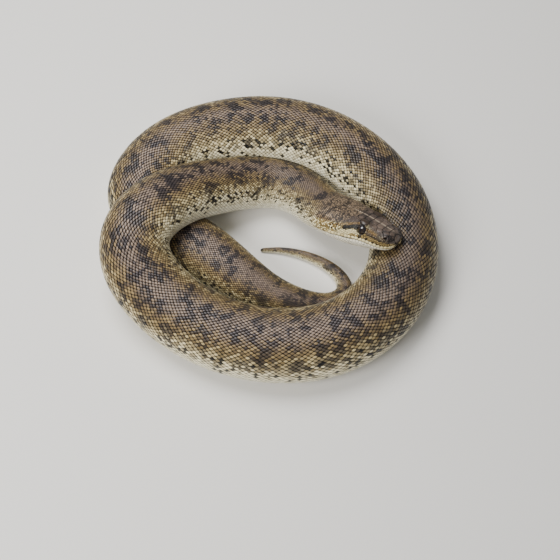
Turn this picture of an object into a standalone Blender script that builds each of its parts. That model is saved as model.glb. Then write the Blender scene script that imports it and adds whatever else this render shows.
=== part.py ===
"""A rock python resting in a coil, life size: one animal, its body parted by thin cuts.

Metres, +Z up, floor at z = 0. The body is one loft along a smooth curve, from tail tip to snout.
"""

import bmesh
import bpy
import numpy as np

# How the body lies, from tail tip to neck: x, y, rise of the belly above the floor,
# half width, and half height over half width.
ROUTE = (
    (-0.030, 0.050, 0.000, 0.0030, 0.95),
    (0.000, 0.050, 0.000, 0.0050, 0.95),
    (0.035, 0.041, 0.000, 0.0070, 0.92),
    (0.068, 0.025, 0.000, 0.0087, 0.90),
    (0.094, 0.000, 0.000, 0.0107, 0.90),
    (0.100, -0.030, 0.000, 0.0135, 0.88),
    (0.072, -0.052, 0.000, 0.0175, 0.86),
    (0.025, -0.050, 0.000, 0.0240, 0.84),
    (-0.025, -0.033, 0.000, 0.0315, 0.82),
    (-0.070, -0.002, 0.000, 0.0400, 0.80),
    (-0.116, 0.035, 0.000, 0.0450, 0.76),
    (-0.174, 0.073, 0.000, 0.0480, 0.68),
    (-0.226, 0.121, 0.000, 0.0495, 0.68),
    (-0.199, 0.184, 0.000, 0.0515, 0.76),
    (-0.148, 0.221, 0.000, 0.0535, 0.82),
    (-0.080, 0.241, 0.000, 0.0550, 0.82),
    (-0.010, 0.245, 0.000, 0.0560, 0.82),
    (0.063, 0.225, 0.000, 0.0560, 0.82),
    (0.127, 0.181, 0.000, 0.0545, 0.82),
    (0.172, 0.120, 0.000, 0.0525, 0.80),
    (0.188, 0.055, 0.000, 0.0515, 0.78),
    (0.182, -0.012, 0.000, 0.0520, 0.80),
    (0.147, -0.072, 0.000, 0.0535, 0.82),
    (0.090, -0.115, 0.000, 0.0545, 0.82),
    (0.020, -0.131, 0.000, 0.0550, 0.82),
    (-0.050, -0.124, 0.000, 0.0550, 0.82),
    (-0.113, -0.100, 0.000, 0.0545, 0.82),
    (-0.170, -0.060, 0.005, 0.0540, 0.82),
    (-0.215, -0.010, 0.027, 0.0530, 0.80),
    (-0.215, 0.043, 0.055, 0.0505, 0.78),
    (-0.168, 0.092, 0.055, 0.0475, 0.78),
    (-0.110, 0.130, 0.025, 0.0440, 0.80),
    (-0.054, 0.153, 0.003, 0.0410, 0.82),
    (-0.002, 0.156, 0.000, 0.0393, 0.80),
    (0.038, 0.131, 0.010, 0.0388, 0.76),
)
SEAT = 0.86  # height of the body's axis above its belly, over the half height
BODY_SQUARENESS = 2.25  # power of the body's section; 2 is an ellipse

# The head is straight, from the back of the jaw to the snout.
NAPE = np.array((0.071, 0.090, 0.053))
SNOUT = np.array((0.171, 0.014, 0.096))
HEAD_LENGTH = float(np.linalg.norm(SNOUT - NAPE))
HEAD_ROLL = 24.0  # degrees, its right side turned up
# Along the head from nape (0) to snout (1): half width, height above the axis, depth below it,
# squareness, and how much the flat top narrows.
HEAD = (
    (-0.14, 0.0380, 0.0260, 0.0250, 2.3, 0.05),
    (0.06, 0.0395, 0.0245, 0.0250, 2.4, 0.12),
    (0.22, 0.0405, 0.0238, 0.0255, 2.6, 0.20),
    (0.38, 0.0400, 0.0228, 0.0252, 2.8, 0.28),
    (0.54, 0.0370, 0.0215, 0.0240, 3.0, 0.34),
    (0.68, 0.0315, 0.0187, 0.0222, 3.0, 0.33),
    (0.82, 0.0257, 0.0152, 0.0198, 2.8, 0.28),
    (0.93, 0.0212, 0.0125, 0.0172, 2.6, 0.24),
    (1.00, 0.0188, 0.0113, 0.0155, 2.5, 0.22),
)
SNOUT_ROUND, SNOUT_POWER = 0.014, 2.4  # length and bluntness of the snout's rounded end
TAIL_ROUND, TAIL_POWER = 0.005, 2.0
ROLL_BEHIND, ROLL_SPAN = 0.10, 0.13  # where the neck starts to turn, and over what length
FIRM_BEHIND = 0.02  # this much of the neck is as firm as the head

# Eyes and nostrils: place along the head (0 to 1), then across and above the axis.
EYE_ALONG, EYE_ACROSS, EYE_UP = 0.635, 0.0225, 0.0103
EYE_RADIUS = 0.0066
NOSTRIL_ALONG, NOSTRIL_ACROSS, NOSTRIL_UP = 0.925, 0.0170, 0.0055
NOSTRIL_RADIUS = 0.0019

# Where the body is parted, in metres of its length.
TAIL_LENGTH = 0.30
NECK_LENGTH = 0.11
TAIL_NODES = 3
TRUNK_NODES = 12

CUT = 0.0003  # gap between two lengths of the body
TOUCH_GAP = 0.0036  # gap kept where one coil presses on another
HEAD_PRESS = 1.10  # the firm head keeps softer coils this far out, over its own section
EYE_GAP = 0.0005
FAR_ALONG = 0.30  # coils this far apart along the body can touch
SIDES = 24
RING_STEP = 0.021
AXIS_STEP = 0.004
FRAME_STEP = 0.002
LEAST_KEPT = 0.3  # how far in a pressed outline may go, over its own size
CENTRE = np.array((0.015, -0.057, 0.0))  # moves the middle of the coil to x = y = 0

COLOURS = {
    "head": (0.150, 0.125, 0.080),
    "neck": (0.170, 0.145, 0.085),
    "trunk": (0.135, 0.115, 0.065),
    "tail": (0.180, 0.160, 0.115),
    "eye": (0.020, 0.016, 0.012),
    "cutter": (0.5, 0.5, 0.5),
}
SKIN_ROUGHNESS, EYE_ROUGHNESS = 0.42, 0.08


def b_spline(rows, spans):
    """Points of the uniform cubic B-spline on these rows, which meets the first and the last."""
    rows = np.vstack((2 * rows[0] - rows[1], rows, 2 * rows[-1] - rows[-2]))
    t = np.linspace(0.0, 1.0, spans, endpoint=False)[:, None]
    pieces = [
        (
            (1 - t) ** 3 * a
            + (3 * t**3 - 6 * t**2 + 4) * b
            + (-3 * t**3 + 3 * t**2 + 3 * t + 1) * c
            + t**3 * d
        )
        / 6
        for a, b, c, d in zip(rows, rows[1:], rows[2:], rows[3:])
    ]
    return np.vstack(pieces + [rows[-2:-1]])


def all_rows():
    """The body's stations, then the head's: x, y, z, half width, top, bottom, square, narrow."""
    x, y, rise, half, ratio = np.array(ROUTE).T
    high = half * ratio
    square = np.full_like(x, BODY_SQUARENESS)
    body = np.column_stack((x, y, rise + SEAT * high, half, high, high, square, 0 * x))
    along, *shape = np.array(HEAD).T
    places = NAPE + along[:, None] * (SNOUT - NAPE)
    return np.vstack((body, np.column_stack((places, *shape))))


class Body:
    """The snake's axis and sections, read at any distance from the tail tip."""

    def __init__(self):
        dense = b_spline(all_rows(), 40)
        steps = np.linalg.norm(np.diff(dense[:, :3], axis=0), axis=1)
        self.run = np.concatenate(([0.0], np.cumsum(steps)))
        self.dense = dense
        self.length = self.run[-1]
        self.nape = self.length - HEAD_LENGTH
        self.axis = self.sections(np.arange(AXIS_STEP, self.length, AXIS_STEP))

    def sections(self, at):
        """Centres, frames and sizes at these distances from the tail tip."""
        columns = [np.interp(at, self.run, c) for c in self.dense.T]
        ahead = [np.interp(at + FRAME_STEP, self.run, c) for c in self.dense.T[:3]]
        behind = [np.interp(at - FRAME_STEP, self.run, c) for c in self.dense.T[:3]]
        tangent = np.column_stack(ahead) - np.column_stack(behind)
        tangent /= np.linalg.norm(tangent, axis=1)[:, None]
        side = np.cross(tangent, (0.0, 0.0, 1.0))
        side /= np.linalg.norm(side, axis=1)[:, None]
        up = np.cross(side, tangent)
        turned = smooth((at - self.nape + ROLL_BEHIND) / ROLL_SPAN)
        roll = np.radians(HEAD_ROLL) * turned[:, None]
        side, up = side * np.cos(roll) + up * np.sin(roll), up * np.cos(roll) - side * np.sin(roll)
        ends = rounded((self.length - at) / SNOUT_ROUND, SNOUT_POWER)
        ends = ends * rounded(at / TAIL_ROUND, TAIL_POWER)
        centre = np.column_stack(columns[:3])
        width, top, bottom = (c * ends for c in columns[3:6])
        return dict(at=at, centre=centre, tangent=tangent, side=side, up=up, width=width,
                    top=top, bottom=bottom, square=columns[6], narrow=columns[7])

    def outline(self, at, around):
        """Points round each section, before the coils press on each other."""
        s = {k: v[:, None] for k, v in self.sections(at).items()}
        across = np.sin(around)[None, :]
        high = np.cos(around)[None, :]
        power = 2 / s["square"]
        across = np.sign(across) * np.abs(across) ** power
        high = np.sign(high) * np.abs(high) ** power
        across = across * s["width"] * (1 - s["narrow"] * np.maximum(high, 0.0) ** 1.5)
        high = high * np.where(high > 0, s["top"], s["bottom"])
        return s["centre"] + across[..., None] * s["side"] + high[..., None] * s["up"]

    def nearness(self, points, at):
        """How far points are from the other coils' axes: 1 is on their surface."""
        axis = self.axis
        away = np.linalg.norm(points[:, None] - axis["centre"][None], axis=2)
        away[np.abs(at[:, None] - axis["at"][None]) < FAR_ALONG] = np.inf
        near = away.argmin(axis=1)
        apart = points - axis["centre"][near]
        across = np.abs((apart * axis["side"][near]).sum(axis=1)) / axis["width"][near]
        high = (apart * axis["up"][near]).sum(axis=1)
        high = np.where(high > 0, high / axis["top"][near], -high / axis["bottom"][near])
        square = axis["square"][near]
        return (across**square + high**square) ** (1 / square), near

    def rings(self, at, around):
        """The finished outline: pressed flat where coils touch, and flat on the floor."""
        points = self.outline(at, around)
        centres = np.repeat(self.sections(at)["centre"], len(around), axis=0)
        widths = np.repeat(self.sections(at)["width"], len(around))
        places = np.repeat(at, len(around))
        reach = points.reshape(-1, 3) - centres
        gap = TOUCH_GAP / np.maximum(widths, 0.01)
        firm_from = self.nape - FIRM_BEHIND
        near, other = self.nearness(centres + reach, places)
        soft = np.flatnonzero((places < firm_from) & (near < HEAD_PRESS + gap))
        low, high = np.full(len(soft), LEAST_KEPT), np.ones(len(soft))
        for _ in range(14):
            middle = (low + high) / 2
            tried = centres[soft] + reach[soft] * middle[:, None]
            near, other = self.nearness(tried, places[soft])
            own = np.where(self.axis["at"][other] > firm_from, HEAD_PRESS, middle)
            clear = near >= own + gap[soft]
            low = np.where(clear, middle, low)
            high = np.where(clear, high, middle)
        kept = np.ones(len(reach))
        kept[soft] = low
        points = centres + reach * kept[:, None]
        points[:, 2] = np.maximum(points[:, 2], 0.0)
        return points.reshape(len(at), len(around), 3) + CENTRE


def smooth(t):
    """0 to 1 with level ends."""
    t = np.clip(t, 0.0, 1.0)
    return t * t * (3 - 2 * t)


def rounded(t, power):
    """0 to 1 as the outline of a rounded end, which starts steep and ends level."""
    return (1 - (1 - np.clip(t, 0.0, 1.0)) ** power) ** (1 / power)


def material(name, kind):
    """The plain finish of a kind of sub-part, under the sub-part's own name."""
    made = bpy.data.materials.new(name)
    made.use_nodes = True
    shader = made.node_tree.nodes["Principled BSDF"]
    shader.inputs["Base Color"].default_value = (*COLOURS[kind], 1.0)
    shader.inputs["Roughness"].default_value = EYE_ROUGHNESS if kind == "eye" else SKIN_ROUGHNESS
    shader.inputs["Metallic"].default_value = 0.0
    return made


def add(bm, name, kind, collection):
    """One object of this mesh, shaded smooth but for its cut ends, with its own material."""
    mesh = bpy.data.meshes.new(name)
    bm.to_mesh(mesh)
    bm.free()
    mesh.shade_smooth()
    mesh.set_sharp_from_angle(angle=np.radians(50))
    mesh.materials.append(material(name, kind))
    made = bpy.data.objects.new(name, mesh)
    collection.objects.link(made)
    return made


def loft(body, start, end):
    """A closed length of the body between two distances from the tail tip."""
    around = np.linspace(0, 2 * np.pi, SIDES, endpoint=False)
    count = max(3, round((end - start) / RING_STEP) + 1)
    spread = np.linspace(0, 1, count)
    at = start + spread * (end - start)
    if end >= body.length:
        at = start + np.sin(spread * np.pi / 2) ** 0.9 * (end - start)
    rings = body.rings(at, around)
    middles = rings.mean(axis=1)
    bm = bmesh.new()
    rows = [[bm.verts.new(p) for p in ring] for ring in rings]
    for low, high in zip(rows, rows[1:]):
        for k in range(SIDES):
            m = (k + 1) % SIDES
            bm.faces.new((low[k], low[m], high[m], high[k]))
    for row, middle in ((rows[0][::-1], middles[0]), (rows[-1], middles[-1])):
        hub = bm.verts.new(middle)
        for k in range(SIDES):
            bm.faces.new((row[k], row[(k + 1) % SIDES], hub))
    bmesh.ops.remove_doubles(bm, verts=bm.verts, dist=0.00001)
    bmesh.ops.recalc_face_normals(bm, faces=bm.faces)
    return bm


def head_point(body, along, across, up):
    """A place in the head, from nape to snout, across to the snake's right, and up."""
    s = body.sections(np.array([body.nape + along * HEAD_LENGTH]))
    return (s["centre"] + across * s["side"] + up * s["up"])[0] + CENTRE


def ball(centre, radius, segments, rings):
    bm = bmesh.new()
    bmesh.ops.create_uvsphere(bm, u_segments=segments, v_segments=rings, radius=radius)
    bmesh.ops.translate(bm, verts=bm.verts, vec=centre)
    return bm


def cut_away(target, cutter_mesh, name, cutters):
    """Takes a shape out of the target with a Boolean, and keeps the shape as a hidden guide."""
    cutter = add(cutter_mesh, name, "cutter", cutters)
    cutter.hide_render = True
    cutter.display_type = "WIRE"
    hole = target.modifiers.new(name, "BOOLEAN")
    hole.operation = "DIFFERENCE"
    hole.object = cutter


def head_parts(body, parts, cutters):
    head = add(loft(body, body.nape + CUT / 2, body.length), "head", "head", parts)
    for side, sign in (("right", 1), ("left", -1)):
        eye = head_point(body, EYE_ALONG, sign * EYE_ACROSS, EYE_UP)
        nostril = head_point(body, NOSTRIL_ALONG, sign * NOSTRIL_ACROSS, NOSTRIL_UP)
        cut_away(head, ball(eye, EYE_RADIUS + EYE_GAP, 18, 12), f"socket_{side}", cutters)
        cut_away(head, ball(nostril, NOSTRIL_RADIUS, 8, 6), f"nostril_{side}", cutters)
        add(ball(eye, EYE_RADIUS, 16, 10), f"eye_{side}", "eye", parts)


def body_parts(body, parts):
    """Tail, trunk and neck, each parted into lengths by thin cuts."""
    trunk_end = body.nape - NECK_LENGTH
    stretches = (
        ("tail", 0.0, TAIL_LENGTH, TAIL_NODES),
        ("trunk", TAIL_LENGTH, trunk_end, TRUNK_NODES),
        ("neck", trunk_end, body.nape, 1),
    )
    for stretch, start, end, count in stretches:
        for k in range(count):
            name = stretch if count == 1 else f"{stretch}_{k + 1:02d}"
            low = start + (end - start) * k / count
            high = start + (end - start) * (k + 1) / count
            low = low + CUT / 2 if low > 0 else low
            add(loft(body, low, high - CUT / 2), name, stretch, parts)


def main():
    for thing in list(bpy.data.objects):
        bpy.data.objects.remove(thing, do_unlink=True)
    parts = bpy.data.collections.new("coiled_rock_python")
    cutters = bpy.data.collections.new("cutters")
    bpy.context.scene.collection.children.link(parts)
    bpy.context.scene.collection.children.link(cutters)
    body = Body()
    head_parts(body, parts, cutters)
    body_parts(body, parts)


main()
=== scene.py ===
"""A rock python resting in a coil, life size: skin, scales, head shields, eyes and a studio.

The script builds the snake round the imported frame. Metres, +Z up, the floor at z = 0.
Distances along the snake run from the tail tip to the snout. Places round its body run
from 0 at the middle of the back to 1 at the middle of the belly, minus on its left side.
"""

import bpy  # noqa: E402
import numpy as np  # noqa: E402
from bpy.props import FloatProperty, FloatVectorProperty, PointerProperty  # noqa: E402
from mathutils.bvhtree import BVHTree  # noqa: E402
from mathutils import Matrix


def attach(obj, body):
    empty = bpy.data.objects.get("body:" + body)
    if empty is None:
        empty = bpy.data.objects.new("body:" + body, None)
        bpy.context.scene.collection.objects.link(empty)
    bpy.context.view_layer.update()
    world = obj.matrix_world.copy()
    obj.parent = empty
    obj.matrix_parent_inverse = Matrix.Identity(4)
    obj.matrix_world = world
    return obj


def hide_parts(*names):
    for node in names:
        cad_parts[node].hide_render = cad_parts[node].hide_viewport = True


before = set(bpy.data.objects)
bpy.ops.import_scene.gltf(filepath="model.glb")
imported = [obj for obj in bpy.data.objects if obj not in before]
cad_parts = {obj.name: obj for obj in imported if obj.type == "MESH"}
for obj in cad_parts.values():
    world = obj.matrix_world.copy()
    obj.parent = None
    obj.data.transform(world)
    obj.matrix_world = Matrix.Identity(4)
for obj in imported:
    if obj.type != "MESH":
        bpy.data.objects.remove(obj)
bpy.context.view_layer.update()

bl_info = {
    "name": "Coiled Python",
    "version": (1, 0, 0),
    "blender": (4, 5, 0),
    "location": "View3D > Sidebar > Python",
    "description": "Builds a resting rock python with scales, head shields and eyes",
    "category": "Add Mesh",
}

MM = 0.001

# How the body lies, from tail tip to neck: x, y, rise of the belly above the floor,
# half width, and half height over half width.
ROUTE = (
    (-0.030, 0.050, 0.000, 0.0030, 0.95),
    (0.000, 0.050, 0.000, 0.0050, 0.95),
    (0.035, 0.041, 0.000, 0.0070, 0.92),
    (0.068, 0.025, 0.000, 0.0087, 0.90),
    (0.094, 0.000, 0.000, 0.0107, 0.90),
    (0.100, -0.030, 0.000, 0.0135, 0.88),
    (0.072, -0.052, 0.000, 0.0175, 0.86),
    (0.025, -0.050, 0.000, 0.0240, 0.84),
    (-0.025, -0.033, 0.000, 0.0315, 0.82),
    (-0.070, -0.002, 0.000, 0.0400, 0.80),
    (-0.116, 0.035, 0.000, 0.0450, 0.76),
    (-0.174, 0.073, 0.000, 0.0480, 0.68),
    (-0.226, 0.121, 0.000, 0.0495, 0.68),
    (-0.199, 0.184, 0.000, 0.0515, 0.76),
    (-0.148, 0.221, 0.000, 0.0535, 0.82),
    (-0.080, 0.241, 0.000, 0.0550, 0.82),
    (-0.010, 0.245, 0.000, 0.0560, 0.82),
    (0.063, 0.225, 0.000, 0.0560, 0.82),
    (0.127, 0.181, 0.000, 0.0545, 0.82),
    (0.172, 0.120, 0.000, 0.0525, 0.80),
    (0.188, 0.055, 0.000, 0.0515, 0.78),
    (0.182, -0.012, 0.000, 0.0520, 0.80),
    (0.147, -0.072, 0.000, 0.0535, 0.82),
    (0.090, -0.115, 0.000, 0.0545, 0.82),
    (0.020, -0.131, 0.000, 0.0550, 0.82),
    (-0.050, -0.124, 0.000, 0.0550, 0.82),
    (-0.113, -0.100, 0.000, 0.0545, 0.82),
    (-0.170, -0.060, 0.005, 0.0540, 0.82),
    (-0.215, -0.010, 0.027, 0.0530, 0.80),
    (-0.215, 0.043, 0.055, 0.0505, 0.78),
    (-0.168, 0.092, 0.055, 0.0475, 0.78),
    (-0.110, 0.130, 0.025, 0.0440, 0.80),
    (-0.054, 0.153, 0.003, 0.0410, 0.82),
    (-0.002, 0.156, 0.000, 0.0393, 0.80),
    (0.038, 0.131, 0.010, 0.0388, 0.76),
)
SEAT = 0.86  # height of the body's axis above its belly, over the half height
BODY_SQUARENESS = 2.25  # power of the body's section; 2 is an ellipse

# The head is straight, from the back of the jaw to the snout.
NAPE = np.array((0.071, 0.090, 0.053))
SNOUT = np.array((0.171, 0.014, 0.096))
HEAD_LENGTH = float(np.linalg.norm(SNOUT - NAPE))
HEAD_ROLL = 24.0  # degrees, its right side turned up
# Along the head from nape (0) to snout (1): half width, height above the axis, depth below it,
# squareness, and how much the flat top narrows.
HEAD = (
    (-0.14, 0.0380, 0.0260, 0.0250, 2.3, 0.05),
    (0.06, 0.0395, 0.0245, 0.0250, 2.4, 0.12),
    (0.22, 0.0405, 0.0238, 0.0255, 2.6, 0.20),
    (0.38, 0.0400, 0.0228, 0.0252, 2.8, 0.28),
    (0.54, 0.0370, 0.0215, 0.0240, 3.0, 0.34),
    (0.68, 0.0315, 0.0187, 0.0222, 3.0, 0.33),
    (0.82, 0.0257, 0.0152, 0.0198, 2.8, 0.28),
    (0.93, 0.0212, 0.0125, 0.0172, 2.6, 0.24),
    (1.00, 0.0188, 0.0113, 0.0155, 2.5, 0.22),
)
SNOUT_ROUND, SNOUT_POWER = 0.014, 2.4  # length and bluntness of the snout's rounded end
TAIL_ROUND, TAIL_POWER = 0.005, 2.0
ROLL_BEHIND, ROLL_SPAN = 0.10, 0.13  # where the neck starts to turn, and over what length
FIRM_BEHIND = 0.02  # this much of the neck is as firm as the head
TOUCH_GAP = 0.0010  # gap kept where one coil presses on another
HEAD_PRESS = 1.03  # the firm head keeps softer coils this far out, over its own section
FAR_ALONG = 0.30  # coils this far apart along the body can touch
AXIS_STEP = 0.004
FRAME_STEP = 0.002
LEAST_KEPT = 0.3  # how far in a pressed outline may go, over its own size
PRESS_STEPS = 13  # halvings that find how far in it goes
CENTRE = np.array((0.015, -0.057, 0.0))  # moves the middle of the coil to x = y = 0

# Eyes and nostrils, in the head's own directions. Along is a share of the head's length.
EYE_ALONG, EYE_ACROSS, EYE_UP = 0.635, 0.0225, 0.0103
EYE_RADIUS = 0.0066  # the plain ball of the CAD
EYE_SHOWN = 0.0076  # the finished eye, which swells over that ball
EYE_MOVED = np.array((0.0008, 0.0, -0.0014))  # from the plain ball's middle to the socket's
EYE_OUT = 0.0013  # how far out of the socket's middle the finished eye sits
EYE_LOOK = np.array((0.16, 1.0, 0.30))  # the right eye looks outwards, a little forwards and up
SOCKET, SOCKET_SOFT, SOCKET_DEPTH = 0.0056, 0.0013, 0.80  # radius, soft edge, and depth over EYE_RADIUS
NOSTRIL_ALONG, NOSTRIL_ACROSS, NOSTRIL_UP = 0.925, 0.0170, 0.0055

# The skin's rings and columns.
COLUMNS = 144  # points round the body
BODY_RING, HEAD_RING = 0.005, 0.0009  # distance between rings on the body and on the head
FINE_FROM = 0.035  # the fine rings start this far behind the nape
SCULPT_FROM = 0.030  # the head's folds start this far behind the nape
END_RINGS = 12  # extra rings that round each end
TAIL_END, SNOUT_END = 0.006, 0.008  # lengths that the extra rings cover
SKIN_OFF_FLOOR, SCALES_OFF_FLOOR = 0.0003, 0.00002
BAKE_STRIPS = 3  # the skin's bake map is parted along its length
PATCH = 0.0017  # half the size of a scale's patch on the bake map

# Half the width of a scale along the body: distance from the tail tip, then that size.
PITCH = (
    (0.00, 0.0006), (0.05, 0.00087), (0.15, 0.00125), (0.30, 0.00173), (0.50, 0.0023), (0.75, 0.0026),
    (1.60, 0.0027), (1.80, 0.0023), (1.95, 0.00185), (2.04, 0.0015), (2.10, 0.00120), (2.19, 0.00104),
)
LENGTH_OVER_PITCH = 2.9  # distance between scales of one row, over that half width
COAT = 0.125  # depth of the scales over the skin, over the distance between them
BELLY_FROM = 0.83  # place round the body where the belly plates start
BELLY_TO = 1.015  # how far the belly plates reach from there, past the middle of the belly
PLATES_FROM = 0.030  # beyond the nape, the head's plates take over from the body's scales
MOST_TRIANGLES = 196_000  # in one piece of the coat
FLOOR_SIZE, FLOOR_DROP = 8.0, 0.0002  # the studio floor's width, and how far it lies under the model


def b_spline(rows, spans):
    """Points of the uniform cubic B-spline on these rows, which meets the first and the last."""
    rows = np.vstack((2 * rows[0] - rows[1], rows, 2 * rows[-1] - rows[-2]))
    t = np.linspace(0.0, 1.0, spans, endpoint=False)[:, None]
    shares = (1 - t) ** 3, 3 * t**3 - 6 * t**2 + 4, -3 * t**3 + 3 * t**2 + 3 * t + 1, t**3
    pieces = [(shares[0] * a + shares[1] * b + shares[2] * c + shares[3] * d) / 6
              for a, b, c, d in zip(rows, rows[1:], rows[2:], rows[3:])]
    return np.vstack(pieces + [rows[-2:-1]])


def all_rows():
    """The body's stations, then the head's: x, y, z, half width, top, bottom, square, narrow."""
    x, y, rise, half, ratio = np.array(ROUTE).T
    high = half * ratio
    square = np.full_like(x, BODY_SQUARENESS)
    body = np.column_stack((x, y, rise + SEAT * high, half, high, high, square, 0 * x))
    along, *shape = np.array(HEAD).T
    places = NAPE + along[:, None] * (SNOUT - NAPE)
    return np.vstack((body, np.column_stack((places, *shape))))


def smooth(t):
    """0 to 1 with level ends."""
    t = np.clip(t, 0.0, 1.0)
    return t * t * (3 - 2 * t)


def rounded(t, power):
    """0 to 1 as the outline of a rounded end, which starts steep and ends level."""
    return (1 - (1 - np.clip(t, 0.0, 1.0)) ** power) ** (1 / power)


def unit(vectors):
    """The same directions with length 1."""
    return vectors / np.maximum(np.linalg.norm(vectors, axis=-1, keepdims=True), 1e-12)


class Flesh:
    """The snake's axis and sections, read at any distance from the tail tip."""

    def __init__(self):
        self.dense = b_spline(all_rows(), 40)
        steps = np.linalg.norm(np.diff(self.dense[:, :3], axis=0), axis=1)
        self.run = np.concatenate(([0.0], np.cumsum(steps)))
        self.length = self.run[-1]
        self.nape = self.length - HEAD_LENGTH
        self.axis = self.sections(np.arange(AXIS_STEP, self.length, AXIS_STEP))

    def sections(self, at):
        """Centres, frames and sizes at these distances from the tail tip."""
        columns = [np.interp(at, self.run, c) for c in self.dense.T]
        ahead = [np.interp(at + FRAME_STEP, self.run, c) for c in self.dense.T[:3]]
        behind = [np.interp(at - FRAME_STEP, self.run, c) for c in self.dense.T[:3]]
        tangent = unit(np.column_stack(ahead) - np.column_stack(behind))
        side = unit(np.cross(tangent, (0.0, 0.0, 1.0)))
        up = np.cross(side, tangent)
        turned = smooth((at - self.nape + ROLL_BEHIND) / ROLL_SPAN)
        roll = np.radians(HEAD_ROLL) * turned[:, None]
        side, up = side * np.cos(roll) + up * np.sin(roll), up * np.cos(roll) - side * np.sin(roll)
        ends = rounded((self.length - at) / SNOUT_ROUND, SNOUT_POWER)
        ends = ends * rounded(at / TAIL_ROUND, TAIL_POWER)
        width, top, bottom = (c * ends for c in columns[3:6])
        return dict(at=at, centre=np.column_stack(columns[:3]), tangent=tangent, side=side, up=up,
                    width=width, top=top, bottom=bottom, square=columns[6], narrow=columns[7])

    def outline(self, at, around):
        """Points round each section, before the coils press on each other."""
        s = {k: v[:, None] for k, v in self.sections(at).items()}
        across = np.sin(around)
        high = np.cos(around)
        power = 2 / s["square"]
        across = np.sign(across) * np.abs(across) ** power
        high = np.sign(high) * np.abs(high) ** power
        across = across * s["width"] * (1 - s["narrow"] * np.maximum(high, 0.0) ** 1.5)
        high = high * np.where(high > 0, s["top"], s["bottom"])
        return s["centre"] + across[..., None] * s["side"] + high[..., None] * s["up"]

    def nearness(self, points, at):
        """How far points are from the other coils' axes: 1 is on their surface."""
        axis = self.axis
        middles = axis["centre"]
        away = (points**2).sum(1)[:, None] + (middles**2).sum(1) - 2 * points @ middles.T
        away[np.abs(at[:, None] - axis["at"]) < FAR_ALONG] = np.inf
        near = away.argmin(axis=1)
        apart = points - middles[near]
        across = np.abs((apart * axis["side"][near]).sum(axis=1)) / axis["width"][near]
        high = (apart * axis["up"][near]).sum(axis=1)
        high = np.where(high > 0, high / axis["top"][near], -high / axis["bottom"][near])
        square = axis["square"][near]
        return (across**square + high**square) ** (1 / square), near

    def even_angles(self, at, columns):
        """Angles that part each section's outline into even lengths, and half its girth."""
        fine = np.linspace(0, np.pi, 361)[None, :].repeat(len(at), axis=0)
        half = self.outline(at, fine)
        steps = np.linalg.norm(np.diff(half, axis=1), axis=2)
        run = np.concatenate((np.zeros((len(at), 1)), np.cumsum(steps, axis=1)), axis=1)
        share = np.linspace(0, 1, columns // 2 + 1)
        girth = np.maximum(run[:, -1], 1e-9)
        right = np.array([np.interp(share * g, r, fine[0]) for g, r in zip(girth, run)])
        return np.hstack((-right[:, :0:-1], right[:, :-1])), girth

    def rings(self, at, around):
        """The finished outline: pressed flat where coils touch, and flat on the floor."""
        points = self.outline(at, around)
        sections = self.sections(at)
        many = around.shape[1]
        centres = np.repeat(sections["centre"], many, axis=0)
        gap = TOUCH_GAP / np.maximum(np.repeat(sections["width"], many), 0.01)
        places = np.repeat(at, many)
        reach = points.reshape(-1, 3) - centres
        firm_from = self.nape - FIRM_BEHIND
        near = np.concatenate([self.nearness(p, a)[0] for p, a in
                               zip(np.array_split(centres + reach, 12), np.array_split(places, 12))])
        soft = np.flatnonzero((places < firm_from) & (near < HEAD_PRESS + gap + 0.1))
        low, high = np.full(len(soft), LEAST_KEPT), np.ones(len(soft))
        for _ in range(PRESS_STEPS):
            middle = (low + high) / 2
            tried = centres[soft] + reach[soft] * middle[:, None]
            near, other = self.nearness(tried, places[soft])
            own = np.where(self.axis["at"][other] > firm_from, HEAD_PRESS, middle)
            clear = near >= own + gap[soft]
            low = np.where(clear, middle, low)
            high = np.where(clear, high, middle)
        kept = np.ones(len(reach))
        kept[soft] = low
        points = centres + reach * kept[:, None]
        points[:, 2] = np.maximum(points[:, 2], 0.0)
        return points.reshape(len(at), many, 3) + CENTRE


class HeadFrame:
    """The head's own directions: along from the nape, across to its right, and up."""

    def __init__(self, flesh):
        last = flesh.sections(np.array([flesh.length - 0.02]))
        self.origin = NAPE + CENTRE
        self.axes = np.vstack((last["tangent"], last["side"], last["up"]))

    def local(self, points):
        """Points of the model, in the head's own directions."""
        return (points - self.origin) @ self.axes.T

    def world(self, local):
        """Points in the head's own directions, in the model's."""
        return np.asarray(local) @ self.axes + self.origin


# The closed mouth, from the corner of the jaw to the snout: distance from the nape, height.
MOUTH = np.array((
    (0.022, -0.0092), (0.034, -0.0082), (0.050, -0.0062), (0.068, -0.0046), (0.084, -0.0040),
    (0.096, -0.0058), (0.106, -0.0084), (0.116, -0.0102), (0.126, -0.0108), (0.136, -0.0108),
))
JAW_CORNER = MOUTH[0, 0]

# Swellings and hollows on both sides of the head, in mm: the middle (distance from the nape,
# place across, height), how far it reaches each way, and how far the skin moves out.
FOLDS = (
    ((83, 17.5, 18.5), (9.5, 5.5, 6.0), 3.6),  # brow
    ((97, 17.0, 13.0), (9, 3.5, 3.5), 0.7),  # ridge from brow to nostril
    ((102, 25, 5.0), (11, 9, 4.0), -1.0),  # hollow between nostril and eye
    ((68, 33, 9), (6, 6, 5), -0.5),  # hollow behind the eye
    ((40, 39, 0), (19, 9, 9), 0.8),  # jaw muscle
    ((22, 27, 19), (17, 10, 8), 0.6),  # temple
    ((82, 33, -1), (16, 8, 3), 0.35),  # upper lip under the eye
    ((121, 15.5, 8), (5, 4, 3.5), 0.5),  # swelling over the nostril
    ((55, 0, 22), (30, 4, 6), -0.45),  # dip along the crown
    ((96, 0, 17), (22, 1.2, 8), -0.3),  # seam along the snout
)


def mouth_height(along):
    """Height of the mouth line at these distances from the nape."""
    return np.interp(along, *MOUTH.T)


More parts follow.
